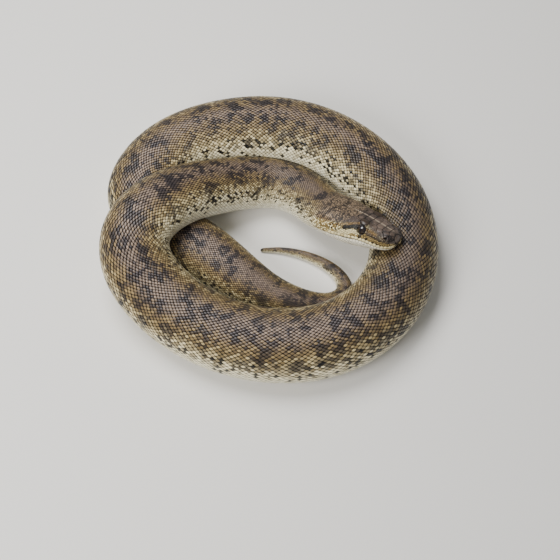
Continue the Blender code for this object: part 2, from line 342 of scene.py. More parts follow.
def hump(local, place, reach):
    """1 at a place on either side of the head, fading out over its reach."""
    mirrored = np.column_stack((local[:, 0], np.abs(local[:, 1]), local[:, 2]))
    away = (mirrored - np.array(place) * MM) / (np.array(reach) * MM)
    return np.exp(-(away**2).sum(axis=1))


def groove(away, width):
    """1 on a line, fading out over a width on both sides of it."""
    return np.exp(-((away / width) ** 2))


def eye_place(sign):
    """The middle of an eye's socket, in the head's own directions. Sign is 1 on the right."""
    return np.array((EYE_ALONG * HEAD_LENGTH, sign * EYE_ACROSS, EYE_UP)) + EYE_MOVED


def eye_axis(sign):
    """The way an eye looks, in the head's own directions."""
    return unit(EYE_LOOK * (1, sign, 1))


def nostril_place(sign):
    """The middle of a nostril, in the head's own directions."""
    return np.array((NOSTRIL_ALONG * HEAD_LENGTH, sign * NOSTRIL_ACROSS, NOSTRIL_UP))


def sculpt_head(points, normals, head):
    """Folds, hollows and ridges of the head, worked into the smooth skin."""
    local = head.local(points)
    along, across, high = local.T
    move = np.zeros(len(points))
    for place, reach, height in FOLDS:
        move += height * MM * hump(local, place, reach)
    open_end = smooth((along - JAW_CORNER + 0.004) / 0.008)
    lip = high - mouth_height(along)
    below = (high < 0.004) * open_end
    move -= 0.0009 * groove(lip, 0.0007) * below  # the closed mouth
    move += 0.00045 * groove(lip - 0.0022, 0.0018) * below  # the upper lip stands out over it
    move -= 0.00045 * smooth((-lip - 0.0002) / 0.0008) * groove(lip + 0.0015, 0.0035) * below
    chin = (high < -0.008) * smooth((along - 0.055) / 0.03)
    move -= 0.0007 * groove(across, 0.0008) * chin  # the fold along the middle of the chin
    mirrored = np.column_stack((along, np.abs(across), high))
    gone = np.linalg.norm(mirrored - nostril_place(1), axis=1)
    move += 0.0003 * groove(gone - 0.0034, 0.0011)  # the nostril's rim
    move -= 0.0021 * (1 - smooth((gone - 0.0014) / 0.0014))  # the nostril
    points = points + normals * move[:, None]
    for sign in (-1, 1):
        points = sink_socket(points, normals, head.world(eye_place(sign)), eye_axis(sign) @ head.axes)
    return points


def sink_socket(points, normals, middle, look):
    """Draws the skin in under an eye, inside a raised lid."""
    apart = points - middle
    off = np.linalg.norm(apart - (apart @ look)[:, None] * look, axis=1)
    facing = (apart @ look > 0) & (np.linalg.norm(apart, axis=1) < 0.02)
    points = points + normals * (0.0007 * groove(off - 0.0079, 0.0010) * facing)[:, None]  # lid
    sunk = (1 - smooth((off - SOCKET) / SOCKET_SOFT)) * facing
    inside = middle + unit(apart) * (SOCKET_DEPTH * EYE_RADIUS)
    return points * (1 - sunk[:, None]) + inside * sunk[:, None]


class Hide:
    """The skin as a surface: a place and an outward direction at any place on the snake."""

    def __init__(self, flesh, head):
        self.flesh, self.head = flesh, head
        fine_from = flesh.nape - FINE_FROM
        fine_rings = round((FINE_FROM + HEAD_LENGTH) / HEAD_RING)
        bend = 1 - np.cos(np.linspace(0, np.pi / 2, END_RINGS))
        body = np.linspace(TAIL_END, fine_from, round(fine_from / BODY_RING))
        front = np.linspace(fine_from, flesh.length - SNOUT_END, fine_rings)
        snout = flesh.length - SNOUT_END * bend[::-1]
        self.at = np.concatenate((TAIL_END * bend, body[1:], front[1:], snout[1:]))
        around, self.girth = flesh.even_angles(self.at, COLUMNS)
        outer = flesh.rings(self.at, around)
        coat = COAT * np.interp(self.at, *scale_spacing(flesh))
        outer = outer - self.outward(outer) * coat[:, None, None]
        outer[..., 2] = np.maximum(outer[..., 2], SKIN_OFF_FLOOR)
        normals = self.outward(outer)
        near = np.flatnonzero(self.at > flesh.nape - SCULPT_FROM)
        head_points = outer[near].reshape(-1, 3)
        sculpted = sculpt_head(head_points, normals[near].reshape(-1, 3), head)
        outer[near] = sculpted.reshape(outer[near].shape)
        self.points = outer
        self.normals = self.outward(outer)

    def outward(self, points):
        """Outward directions of a grid of rings and columns."""
        along = np.gradient(points, axis=0)
        across = np.roll(points, -1, axis=1) - np.roll(points, 1, axis=1)
        normals = unit(np.cross(across, along))
        tangent = unit(along.mean(axis=1))
        normals[0], normals[-1] = -tangent[0], tangent[-1]
        return normals

    def look(self, at, place):
        """Points and outward directions at distances from the tail tip and places round the body."""
        row = np.clip(np.searchsorted(self.at, at) - 1, 0, len(self.at) - 2)
        up = np.clip((at - self.at[row]) / (self.at[row + 1] - self.at[row]), 0.0, 1.0)[..., None]
        column = (place + 1) / 2 * COLUMNS
        first = np.floor(column).astype(int)
        over = (column - first)[..., None]
        first, second = first % COLUMNS, (first + 1) % COLUMNS
        found = []
        for grid in (self.points, self.normals):
            low = grid[row, first] * (1 - over) + grid[row, second] * over
            high = grid[row + 1, first] * (1 - over) + grid[row + 1, second] * over
            found.append(low * (1 - up) + high * up)
        return found[0], unit(found[1])

    def nearest(self, local):
        """The distance and place on the skin nearest to a point in the head's own directions."""
        rows = np.flatnonzero(self.at > self.flesh.nape - 0.01)
        away = np.linalg.norm(self.points[rows] - self.head.world(local), axis=2)
        row, column = np.unravel_index(away.argmin(), away.shape)
        return self.at[rows[row]], column / COLUMNS * 2 - 1

    def front_tree(self):
        """The skin of the head, for finding the nearest point on it."""
        grid = self.points[self.at > self.flesh.nape - 0.02]
        rings = len(grid)
        index = np.arange(rings * COLUMNS).reshape(rings, COLUMNS)
        across = np.roll(index, -1, axis=1)
        faces = np.stack((index[:-1], index[1:], across[1:], across[:-1]), -1).reshape(-1, 4)
        return BVHTree.FromPolygons(grid.reshape(-1, 3).tolist(), faces.tolist())


def scale_spacing(flesh):
    """Distances along the body, and how far apart the scales of one row are there."""
    at = np.linspace(0, flesh.length, 1200)
    pitch = np.interp(at, *np.array(PITCH).T)
    window = np.hanning(61)
    padded = np.pad(pitch, len(window) // 2, mode="edge")
    return at, np.convolve(padded, window / window.sum(), mode="valid") * LENGTH_OVER_PITCH


def scale_count(at, spacing):
    """How many scales of one row lie between the tail tip and each distance."""
    return np.concatenate(([0.0], np.cumsum(2 / (spacing[1:] + spacing[:-1]) * np.diff(at))))


def unwrap(at, place, start, end, strip=0, strips=1):
    """The skin laid flat for baking: strips of its length, one above another, filling a square."""
    length = (end - start) / strips
    u = (at - start - strip * length) / length
    v = (strip + 0.5 + 0.47 * place) / strips
    return np.stack((0.01 + 0.98 * u, v), axis=-1)


# ---------------------------------------------------------------- materials


class Term:
    """A value in a material. Sums and products of terms add the nodes that work them out."""

    def __init__(self, finish, socket):
        self.finish, self.socket = finish, socket

    def __add__(self, other):
        return self.finish.maths("ADD", self, other)

    def __sub__(self, other):
        return self.finish.maths("SUBTRACT", self, other)

    def __rsub__(self, other):
        return self.finish.maths("SUBTRACT", other, self)

    def __mul__(self, other):
        return self.finish.maths("MULTIPLY", self, other)

    def __truediv__(self, other):
        return self.finish.maths("DIVIDE", self, other)

    def __abs__(self):
        return self.finish.maths("ABSOLUTE", self)

    __radd__, __rmul__ = __add__, __mul__


class Finish:
    """One material and the nodes that make it."""

    def __init__(self, name, **constants):
        self.material = bpy.data.materials.new(name)
        self.material.use_nodes = True
        self.tree = self.material.node_tree
        self.shader = self.tree.nodes["Principled BSDF"]
        for key, value in constants.items():
            self.shader.inputs[key.replace("_", " ").title().replace("Ior", "IOR")].default_value = value

    def node(self, kind, settings, sockets, out=0):
        """Adds a node: its settings first, then values or links for its sockets."""
        made = self.tree.nodes.new(kind)
        for key, value in settings.items():
            if key == "stops":
                while len(made.color_ramp.elements) < len(value):
                    made.color_ramp.elements.new(1.0)
                for element, (where, colour) in zip(made.color_ramp.elements, value):
                    element.position = where
                    element.color = (*colour, 1.0)
            else:
                setattr(made, key, value)
        for key, value in sockets.items():
            if isinstance(value, Term):
                self.tree.links.new(value.socket, made.inputs[key])
            else:
                made.inputs[key].default_value = value
        return Term(self, made.outputs[out])

    def maths(self, operation, *values):
        """A number worked out from numbers."""
        return self.node("ShaderNodeMath", {"operation": operation}, dict(enumerate(values)))

    def attribute(self, name, out=0):
        """A value kept on the mesh's points."""
        return self.node("ShaderNodeAttribute", {"attribute_name": name}, {}, out)

    def number(self, name):
        """A number kept on the mesh's points."""
        return self.attribute(name, "Fac")

    def split(self, name):
        """The three numbers of a triple kept on the mesh's points."""
        vector = self.attribute(name, "Vector")
        made = self.node("ShaderNodeSeparateXYZ", {}, {0: vector}).socket.node
        return [Term(self, output) for output in made.outputs]

    def point(self, x, y, z=0.0):
        """A place made from three numbers."""
        return self.node("ShaderNodeCombineXYZ", {}, {0: x, 1: y, 2: z})

    def noise(self, place, size, detail=2.0, seed=0.0):
        """Smooth random values about 0, with lumps of this size in metres."""
        sockets = {"Vector": place, "W": seed, "Scale": 1 / size, "Detail": detail}
        return self.node("ShaderNodeTexNoise", {"noise_dimensions": "4D"}, sockets) - 0.5

    def step(self, value, low, high):
        """0 to 1 as the value goes from low to high, with level ends."""
        settings = {"interpolation_type": "SMOOTHSTEP"}
        return self.node("ShaderNodeMapRange", settings, {0: value, 1: low, 2: high})

    def mix(self, share, first, second):
        """The first colour, turning into the second as the share goes to 1."""
        first, second = (c if isinstance(c, Term) else (*c, 1.0) for c in (first, second))
        return self.node("ShaderNodeMix", {"data_type": "RGBA"}, {0: share, 6: first, 7: second}, 2)

    def within(self, value, low, top, soft):
        """1 between low and top, with soft ends, and 0 outside."""
        return self.step(value, low - soft, low + soft) * (1.0 - self.step(value, top - soft, top + soft))

    def ramp(self, value, stops):
        """A colour read from stops, each a value and its colour."""
        return self.node("ShaderNodeValToRGB", {"stops": stops}, {0: value})

    def table(self, along, rows):
        """A number between -0.5 and 0.5, read from a table of distances along the snake."""
        stops = [(at / BODY_SPAN, [0.5 + value] * 3) for at, value in rows]
        return self.ramp(along / BODY_SPAN, stops) - 0.5

    def scaled(self, colour, by):
        """A colour made lighter or darker."""
        shade = self.point(by, by, by)
        settings = {"operation": "MULTIPLY"}
        return self.node("ShaderNodeVectorMath", settings, {0: colour, 1: shade})

    def wear(self, **sockets):
        """Feeds what changes over the surface to the shader."""
        for name, term in sockets.items():
            self.tree.links.new(term.socket, self.shader.inputs[name.replace("_", " ")])
        return self.material


# How the markings change over the length: distance from the tail tip, then how far they turn
# to the right, how much lower on the flank the pale part starts, and how much lighter they are.
# On the right of the big coil, part of the darkening is painted shade.
BODY_SPAN = 2.2
TWIST = (
    (0.00, 0.06), (0.20, 0.05), (0.32, 0.00), (0.55, 0.00), (0.66, 0.05), (1.10, 0.05), (1.20, 0.04),
    (1.30, -0.01), (1.50, -0.01), (1.58, 0.05), (1.70, 0.05), (1.84, 0.06), (1.96, 0.06), (2.09, -0.07),
)
FLANK = (
    (0.00, 0.00), (0.22, -0.02), (0.34, -0.09), (0.56, -0.07), (0.66, 0.00), (1.00, 0.00), (1.12, -0.05),
    (1.20, -0.07), (1.30, -0.06), (1.50, -0.06), (1.58, -0.08), (1.70, -0.05), (1.82, -0.03), (2.05, -0.04),
)
# Darker from 1.06 to 1.18 m, on the right of the big coil: partly a darker stretch of the body, partly
# painted shade of that side.
TONE_AND_SHADE = (
    (0.00, -0.18), (0.20, -0.18), (0.42, -0.04), (0.95, 0.00), (1.06, -0.30), (1.18, -0.34),
    (1.32, -0.04), (1.60, -0.03), (1.88, -0.02), (1.98, -0.14), (2.06, -0.12), (2.12, -0.04),
)
HEAD_BLEND = (-0.006, 0.018)  # the head's markings take over between these distances from the nape

# The head's bands behind the eye, by height over a line that rises towards the snout, in mm.
CREAM_BAND, STRIPE, OCHRE_BAND = (1.4, 7.4), (7.4, 12.6), (11.6, 14.8)
# Dark spots along the upper lip: distance from the nape, place across, height, in mm.
LIP_SPOTS = (
    (86.0, 32.0, 0.6), (97.5, 28.0, 0.8), (106.5, 26.5, -2.6), (113.0, 24.0, -3.9), (118.0, 22.0, -4.8),
)
BROW = (84.0, 17.5, 17.5)
# The dark ring round the eye is partly its dark scales and partly painted shade of the sunk socket.
EYE_RING = (85.1, 22.5, 8.9)  # middle of the dark ring round the eye


def srgb(red, green, blue):
    """A colour given as 0 to 255 on a screen, as the light it stands for."""
    return tuple(((c / 255 + 0.055) / 1.055) ** 2.4 if c > 10 else c / 3295 for c in (red, green, blue))


def body_colour(finish, paint):
    """The markings of the body, the same on skin and scales: blotches, flank, specks, belly.
    Also returns the distance from the tail tip, and how pale the markings are."""
    along, across, turned = finish.split("place")
    chance = finish.number("chance")
    pick = finish.number("pick")
    spot = finish.point(along, across)
    broad = finish.noise(spot, 0.055, 2.0)
    middle = finish.noise(spot, 0.020, 2.0, 3.0)
    small = finish.noise(spot, 0.008, 1.0, 7.0)
    side = abs(turned + finish.table(along, TWIST))
    level = side + finish.table(along, FLANK) + 0.10 * broad + 0.05 * middle + 0.11 * (chance - 0.5)
    ground = finish.ramp(level, ((0.0, paint.back), (0.11, paint.bronze), (0.20, paint.ochre),
                                 (0.30, paint.olive), (0.43, paint.cream), (0.58, paint.pale)))
    cell = finish.point((along + 0.45 * abs(across)) / 0.026 + 1.2 * middle, across / 0.036 + 1.2 * broad)
    away = finish.node("ShaderNodeTexVoronoi", {"voronoi_dimensions": "2D"},
                       {"Vector": cell, "Scale": 1.0, "Randomness": 0.85}, "Distance")
    blotch = 0.37 - away + 1.6 * small + 1.2 * middle + 0.28 * (pick - 0.5)
    dark = finish.step(blotch, -0.06, 0.22) * (1.0 - finish.step(level, 0.32, 0.42))
    dark = dark * (0.86 - 0.10 * finish.step(side, 0.08, 0.24))
    zone = finish.step(level, 0.22, 0.32) * (1.0 - finish.step(level, 0.40, 0.58))  # most specks
    speck = finish.step(pick + 0.4 * small + 0.30 * zone, 1.15, 1.17)
    # The blotches are dark in their own colour. The blue cast of that colour is a painted reflection of the
    # sky.
    colour = finish.mix(dark, ground, paint.blotch)
    colour = finish.mix(speck * 0.95, colour, paint.ink)
    spread = 0.70 - 0.40 * finish.step(level, 0.34, 0.48)
    colour = finish.scaled(colour, (1.0 + spread * (chance - 0.5)) * (1.0 + finish.table(along, TONE_AND_SHADE)))
    return colour, along, finish.step(level, 0.32, 0.52)


class HeadMarkings:
    """The markings of the head, laid one over another. Lengths are in mm, in the head's own
    directions."""

    def __init__(self, finish, paint):
        self.finish, self.paint = finish, paint
        self.along, across, self.high = (value * 1000.0 for value in finish.split("face"))
        self.side = abs(across)
        self.lip = finish.number("lip") * 1000.0  # height over the mouth
        self.chance = finish.number("chance")
        self.pick = finish.number("pick")
        spot = finish.point(self.along, self.side, self.high)
        self.middle = finish.noise(spot, 14.0, 2.0, 5.0)
        self.small = finish.noise(spot, 4.5, 1.0, 9.0)
        self.lift = self.high - 0.21 * (self.along - 65.0) + 2.5 * self.small  # over the rising line
        self.rear = 1.0 - finish.step(self.along, 80.0, 84.0)
        self.front = finish.step(self.along, 88.0, 92.0)
        self.shielded = finish.step(self.along + 0.4 * self.side + 10.0 * self.middle, 62.0, 72.0)
        self.below = 1.0 - finish.step(self.lip, -0.8, 0.0)
        self.cream = finish.within(self.lift, *CREAM_BAND, 0.8) * self.rear
        self.fleck = self.small + 0.5 * (self.chance - 0.5)
        for lay_over in (self.crown, self.cheek, self.stripe, self.snout, self.lips, self.jaw):
            lay_over()

    def lay(self, share, colour):
        """Lays a colour over the markings so far."""
        self.colour = self.finish.mix(share, self.colour, colour)

    def near(self, place, radius):
        """1 near a place on either side of the head, and 0 beyond its radius."""
        gaps = [value - at for value, at in zip((self.along, self.side, self.high), place)]
        away = self.finish.maths("SQRT", gaps[0] * gaps[0] + gaps[1] * gaps[1] + gaps[2] * gaps[2])
        return 1.0 - self.finish.step(away, radius * 0.7, radius * 1.3)

    def crown(self):
        """Clouded shields and small scales, the dark brow, and the fine line along the middle."""
        finish, paint = self.finish, self.paint
        cloud = finish.step(self.middle + 0.4 * self.small, -0.10, 0.14) * 0.85
        shields = finish.mix(cloud, paint.crown, paint.crown_shade)
        cloud = finish.step(self.middle + 0.5 * self.small + 0.6 * (self.pick - 0.5), -0.10, 0.16) * 0.85
        temple = finish.mix(cloud, paint.temple, paint.crown_shade)
        self.colour = finish.mix(self.shielded, temple, shields)
        brow = self.near(BROW, 9.5) * finish.step(self.high, 10.0, 13.0)
        self.lay(brow * 0.8, paint.brow)
        line = (1.0 - finish.step(self.side, 0.55, 1.35)) * finish.within(self.along, 34.0, 124.0, 5.0)
        line = line * finish.step(self.high, 0.0, 4.0) * 0.8 * finish.step(self.middle, -0.22, -0.05)
        self.lay(line, paint.median)

    def cheek(self):
        """The flecked cheek, and the cream and ochre bands under and over the stripe."""
        finish, paint, along = self.finish, self.paint, self.along
        flecked = finish.mix(finish.step(self.fleck, -0.05, 0.2), paint.lip_ochre, paint.lip)
        share = finish.step(self.side, 16.0, 20.0)
        share = share * (1.0 - finish.step(self.lift + 0.10 * (along - 65.0), 12.0, 15.0))
        share = share * (1.0 - finish.within(along, 92.0, 132.0, 3.0) * 0.85)
        self.lay(share, flecked)
        self.lay(self.cream * finish.step(along, 44.0, 54.0) * 0.92, paint.lip)
        ochre = finish.within(self.lift, *OCHRE_BAND, 0.8) * self.rear
        self.lay(ochre * finish.step(along, 30.0, 40.0) * 0.75, paint.gold)
        patch = finish.within(along, 14.0, 33.0, 3.0) * finish.within(self.high, 3.0, 13.0, 2.0)
        self.lay(patch * 0.35, paint.gold)

    def stripe(self):
        """The black stripe behind the eye, dark specks behind it, and the line over the temple."""
        finish, paint, along = self.finish, self.paint, self.along
        stripe = finish.within(self.lift - 0.05 * (along - 66.0), *STRIPE, 0.4)
        self.lay(stripe * finish.within(along, 57.0, 82.0, 2.0) * 0.97, paint.ink)
        cluster = finish.within(along, 33.0, 54.0, 2.0) * finish.within(self.high, 2.0, 11.0, 1.5)
        picked = finish.step(self.pick + 1.3 * self.small, 0.66, 0.74)
        self.lay(cluster * picked * 0.95, paint.ink)
        arc = finish.within(along + 0.48 * self.side + 8.0 * self.small, 34.0, 38.4, 1.2)
        self.lay(arc * finish.step(self.high, 6.0, 12.0) * 0.75, paint.shadow)

    def snout(self):
        """The ochre streak and the dark line before the eye, and the ochre under them."""
        finish, paint, along = self.finish, self.paint, self.along
        streak = finish.within(self.high + 0.27 * (along - 94.0) + 2.0 * self.small, 10.0, 13.4, 0.7)
        ahead = self.front * (1.0 - finish.step(along, 106.0, 112.0)) * finish.step(self.side, 16.5, 18.0)
        self.lay(streak * ahead * 0.8, paint.gold)
        height = self.high + 0.20 * (along - 97.4) + 1.5 * self.small
        line = finish.within(height, 4.7, 6.9, 0.5) * self.front
        self.lay(line * (1.0 - finish.step(along, 119.0, 123.0)) * 0.85, paint.shadow)
        under = (1.0 - finish.step(height, 4.6, 5.6)) * self.front
        self.lay(finish.step(self.side, 6.0, 10.0) * under * 0.8, paint.lip_ochre)

    def lips(self):
        """The upper lip and its dark spots, and the dark ring round the eye, partly its dark scales and
        partly painted shade of the socket.
        """
        finish, paint = self.finish, self.paint
        flecked = finish.mix(finish.step(self.fleck, 0.02, 0.16) * 0.7, paint.lip, paint.lip_ochre)
        share = finish.within(self.lip, -0.2, 5.6, 0.8) * finish.step(self.along, 30.0, 45.0)
        self.lay(share, flecked)
        for place in LIP_SPOTS:
            self.lay(self.near(place, 1.9) * 0.92, paint.ink)
        # Painted shade round the sunk eye, over the dark scales that ring it.
        self.lay(self.near(EYE_RING, 9.4) * 0.55, paint.shadow)

    def jaw(self):
        """The lower jaw, with a few dark scales, and the dark corner of the mouth."""
        finish, paint = self.finish, self.paint
        flecked = finish.mix(finish.step(self.fleck, 0.26, 0.34) * 0.7, paint.jaw, paint.shadow)
        self.lay(self.below, flecked)
        corner = finish.within(self.lip, -1.4, 1.6, 0.4) * finish.within(self.along, 36.0, 76.0, 3.0)
        corner = corner * finish.step(self.middle + self.small, -0.06, 0.03)
        self.lay(corner * 0.6, paint.ink)


def head_colour(finish, paint, body, body_pale, run):
    """The markings of the head, which take over from the body's at the nape, and how pale they are."""
    marks = HeadMarkings(finish, paint)
    spread = 0.84 - 0.50 * marks.shielded - 0.50 * marks.below
    colour = finish.scaled(marks.colour, 1.0 + spread * (marks.chance - 0.5))
    start, end = (FLESH.nape + beyond for beyond in HEAD_BLEND)
    share = finish.step(run, start, end)
    pale = marks.below + 0.45 * marks.cream * (1.0 - marks.below)
    return finish.mix(share, body, colour), body_pale + (pale - body_pale) * share


def coat_finish(name, settings, with_head, is_skin):
    """The finish of scales, plates or skin: markings, dark seams, gloss and a fine grain."""
    finish = Finish(name, specular_ior_level=0.36, coat_roughness=0.24, coat_weight=0.12)
    colour, run, pale = body_colour(finish, settings)
    if with_head:
        colour, pale = head_colour(finish, settings, colour, pale, run)
    rim = finish.number("rim")
    # Dark seams at the edge of each scale and plate. On the body's scales they also carry painted shade at
    # the front and a painted highlight at the rear tip.
    seam = finish.scaled(colour, settings.seam + (settings.pale_seam - settings.seam) * pale)
    edge = finish.step(rim, 0.26, 0.58)
    colour = finish.mix(0.95 if is_skin else edge * 0.95, colour, seam)
    spot = finish.node("ShaderNodeTexCoord", {}, {}, "Object")
    grain = finish.noise(spot, 0.0012, 3.0, 2.0)
    rough = 0.38 + 0.34 * edge + 0.16 * grain
    bump = finish.node("ShaderNodeBump", {}, {"Strength": 0.25, "Distance": 0.0002, "Height": grain})
    return finish.wear(Base_Color=colour, Roughness=rough, Normal=bump)


def eye_finish(settings):
    """A dark brown eye with an upright pupil, under a clear wet surface."""
    finish = Finish("snake eye", roughness=0.06, coat_weight=1.0, coat_roughness=0.03)
    along, across, _ = finish.split("iris")
    far = finish.maths("SQRT", along * along + across * across)
    lens = finish.maths("SQRT", along * along * (0.75 / settings.pupil_width) ** 2 + across * across)
    fleck = finish.noise(finish.attribute("iris", "Vector"), 0.22, 3.0)
    iris = finish.mix(finish.step(fleck, -0.15, 0.2), settings.iris_dark, settings.iris)
    rim, pupil = srgb(16, 13, 10), srgb(4, 4, 5)
    iris = finish.mix(finish.step(far, 0.50, 0.74), iris, rim)
    return finish.wear(Base_Color=finish.mix(1.0 - finish.step(lens, 0.40, 0.50), iris, pupil))


# ---------------------------------------------------------------- modelling


def free_hands():
    """Leaves nothing selected, and object mode."""
    if bpy.context.object and bpy.context.object.mode != "OBJECT":
        bpy.ops.object.mode_set(mode="OBJECT")
    bpy.ops.object.select_all(action="DESELECT")


def face_outwards(weld=None):
    """Turns all faces of the active object outwards, after points this close are welded."""
    bpy.ops.object.mode_set(mode="EDIT")
    bpy.ops.mesh.select_all(action="SELECT")
    if weld:
        bpy.ops.mesh.remove_doubles(threshold=weld)
    bpy.ops.mesh.normals_make_consistent(inside=False)
    bpy.ops.object.mode_set(mode="OBJECT")


def points_of(mesh):
    """The places of a mesh's points."""
    found = np.empty(len(mesh.vertices) * 3, np.float32)
    mesh.vertices.foreach_get("co", found)
    return found.reshape(-1, 3).astype(float)


def reshape(mesh, points):
    """Moves a mesh's points."""
    mesh.vertices.foreach_set("co", np.asarray(points, np.float32).ravel())
    mesh.update()


def keep_values(mesh, **values):
    """Keeps numbers or triples on a mesh's points, for its material to read."""
    for name, found in values.items():
        found = np.asarray(found, np.float32)
        kind, key = ("FLOAT_VECTOR", "vector") if found.ndim == 2 else ("FLOAT", "value")
        mesh.attributes.new(name, kind, "POINT").data.foreach_set(key, found.ravel())


def face_values(hide, points):
    """For the head's markings: its own coordinates, and the height over the mouth line."""
    local = hide.head.local(points)
    return dict(face=local, lip=local[..., 2] - mouth_height(local[..., 0]))


def lifted(made):
    """The points and triangles of a small shape, which is then removed."""
    mesh = made.data
    mesh.calc_loop_triangles()
    triangles = np.array([t.vertices[:] for t in mesh.loop_triangles])
    points = points_of(mesh)
    bpy.data.objects.remove(made)
    bpy.data.meshes.remove(mesh)
    return points, triangles


def whole(name, points, corners, material, uv, **values):
    """One object from points and triangles, with its bake map and its values."""
    mesh = bpy.data.meshes.new(name)
    mesh.vertices.add(len(points))
    mesh.vertices.foreach_set("co", points.astype(np.float32).ravel())
    mesh.loops.add(corners.size)
    mesh.loops.foreach_set("vertex_index", corners.astype(np.int32).ravel())
    mesh.polygons.add(len(corners))
    mesh.polygons.foreach_set("loop_start", np.arange(0, corners.size, 3, dtype=np.int32))
    mesh.update(calc_edges=True)
    mesh.shade_smooth()
    layer = mesh.uv_layers.new(name="OFBake")
    layer.uv.foreach_set("vector", uv[corners.ravel()].astype(np.float32).ravel())
    keep_values(mesh, **values)
    mesh.materials.append(material)
    made = bpy.data.objects.new(name, mesh)
    bpy.context.scene.collection.objects.link(made)
    return made


def joined(name, template, points, material, uv, each, **values):
    """One object from many copies of a template. Points, bake map and values are copies by
    template points, and each holds the values that are the same all over a copy."""
    _, triangles, rim = template
    copies, size = points.shape[:2]
    corners = (triangles[None] + (np.arange(copies) * size)[:, None, None]).reshape(-1, 3)
    flat = {key: found.repeat(size, axis=0) for key, found in each.items()}
    for key, found in values.items():
        flat[key] = found.reshape(-1, *found.shape[2:])
    return whole(name, points.reshape(-1, 3), corners, material, uv.reshape(-1, 2),
                 rim=np.tile(rim, copies), **flat)


# ---------------------------------------------------------------- skin, scales and belly plates

REAR_LIFT = 0.55  # a scale's rear stands this much higher than its front, over its height
SCALE_POWER = 1.2  # power of a scale's outline; 1 is a sharp diamond and 2 an ellipse


def skin_mesh(hide, material):
    """The skin, one closed tube from tail tip to snout, wrapped from a flat grid."""
    free_hands()
    rows = len(hide.at)
    bpy.ops.mesh.primitive_grid_add(x_subdivisions=COLUMNS, y_subdivisions=rows - 1, size=2.0,
                                    calc_uvs=False)
    made = bpy.context.object
    made.name = made.data.name = "skin"
    mesh = made.data
    flat = (points_of(mesh) + 1) / 2
    column = np.rint(flat[:, 0] * COLUMNS).astype(int)
    row = np.rint(flat[:, 1] * (rows - 1)).astype(int)
    points = hide.points[row, column % COLUMNS]
    reshape(mesh, points)
    at, place = hide.at[row], column / COLUMNS * 2 - 1
    keep_values(mesh, place=np.column_stack((at, place * hide.girth[row], place)),
                chance=np.full(len(at), 0.4), pick=np.full(len(at), 0.5), rim=np.full(len(at), 1.0),
                **face_values(hide, points))
    corners = np.empty(len(mesh.loops), np.int32)
    mesh.loops.foreach_get("vertex_index", corners)
    quads = corners.reshape(-1, 4)
    length = hide.flesh.length
    strip = np.floor(at[quads].mean(axis=1) / (length / BAKE_STRIPS)).clip(0, BAKE_STRIPS - 1)
    uv = unwrap(at[quads], place[quads], 0.0, length, strip[:, None], BAKE_STRIPS)
    layer = mesh.uv_layers.new(name="OFBake")
    layer.uv.foreach_set("vector", uv.astype(np.float32).ravel())
    face_outwards(weld=0.000002)
    mesh.shade_smooth()
    mesh.materials.append(material)
    return made


def scale_template(sides=10):
    """One body scale: a rounded diamond, domed, its front sunk and its rear tip raised. Returns
    points, triangles, and how dark each point's edge is."""
    free_hands()
    bpy.ops.mesh.primitive_cylinder_add(vertices=sides, radius=1.0, depth=1.0, end_fill_type="TRIFAN")
    made = bpy.context.object
    points = points_of(made.data)
    top = points[:, 2] > 0
    edge = np.linalg.norm(points[:, :2], axis=1) > 0.5
    angle = np.arctan2(points[:, 1], points[:, 0])[:, None]
    flat = np.hstack((np.cos(angle), np.sin(angle)))
    flat = np.sign(flat) * np.abs(flat) ** (2 / SCALE_POWER)
    flat = np.where(edge[:, None], flat, 0.0)
    flat = np.where((top & edge)[:, None], 0.68 * flat + (0.08, 0.0), flat)
    dome = np.where(top, np.where(edge, 0.36, 0.54), -np.where(edge, 0.12, 0.75))
    reshape(made.data, np.column_stack((flat, REAR_LIFT * (flat[:, 0] + 1) / 2 + dome)))
    face_outwards()
    points, triangles = lifted(made)
    x, y, z = points.T
    # The dark edge leans to the front, which lies under the scale ahead, as painted shade, and eases at the
    # raised rear tip as a painted highlight. The rest is the dark seam.
    rim = np.clip(0.70 * np.hypot(x, y) - 0.10 * x, 0.0, 1.0)
    rim[(z < 0.0) | (np.abs(x) + np.abs(y) > 0.98)] = 1.0
    return points, triangles, rim


def plate_template(cells=10):
    """One belly plate: a wide thin strip with a raised rear edge. Returns what a scale's does."""
    free_hands()
    bpy.ops.mesh.primitive_grid_add(x_subdivisions=2, y_subdivisions=cells, size=2.0)
    made = bpy.context.object
    thick = made.modifiers.new("thickness", "SOLIDIFY")
    thick.thickness, thick.offset = 1.0, -1.0
    bpy.ops.object.modifier_apply(modifier=thick.name)
    x, y, z = points_of(made.data).T
    lift = REAR_LIFT * (x + 1) / 2
    z = np.where(z < -0.5, lift - 0.62, lift + 0.28 * (1 - np.abs(x) ** 3))
    z = z * np.where(np.abs(y) > 0.99, 0.35, 1.0)
    reshape(made.data, np.column_stack((x * (1 - 0.35 * np.abs(y) ** 6), y, z)))
    points, triangles = lifted(made)
    return points, triangles, np.clip(np.abs(points[:, 0]) ** 3, 0, 1)


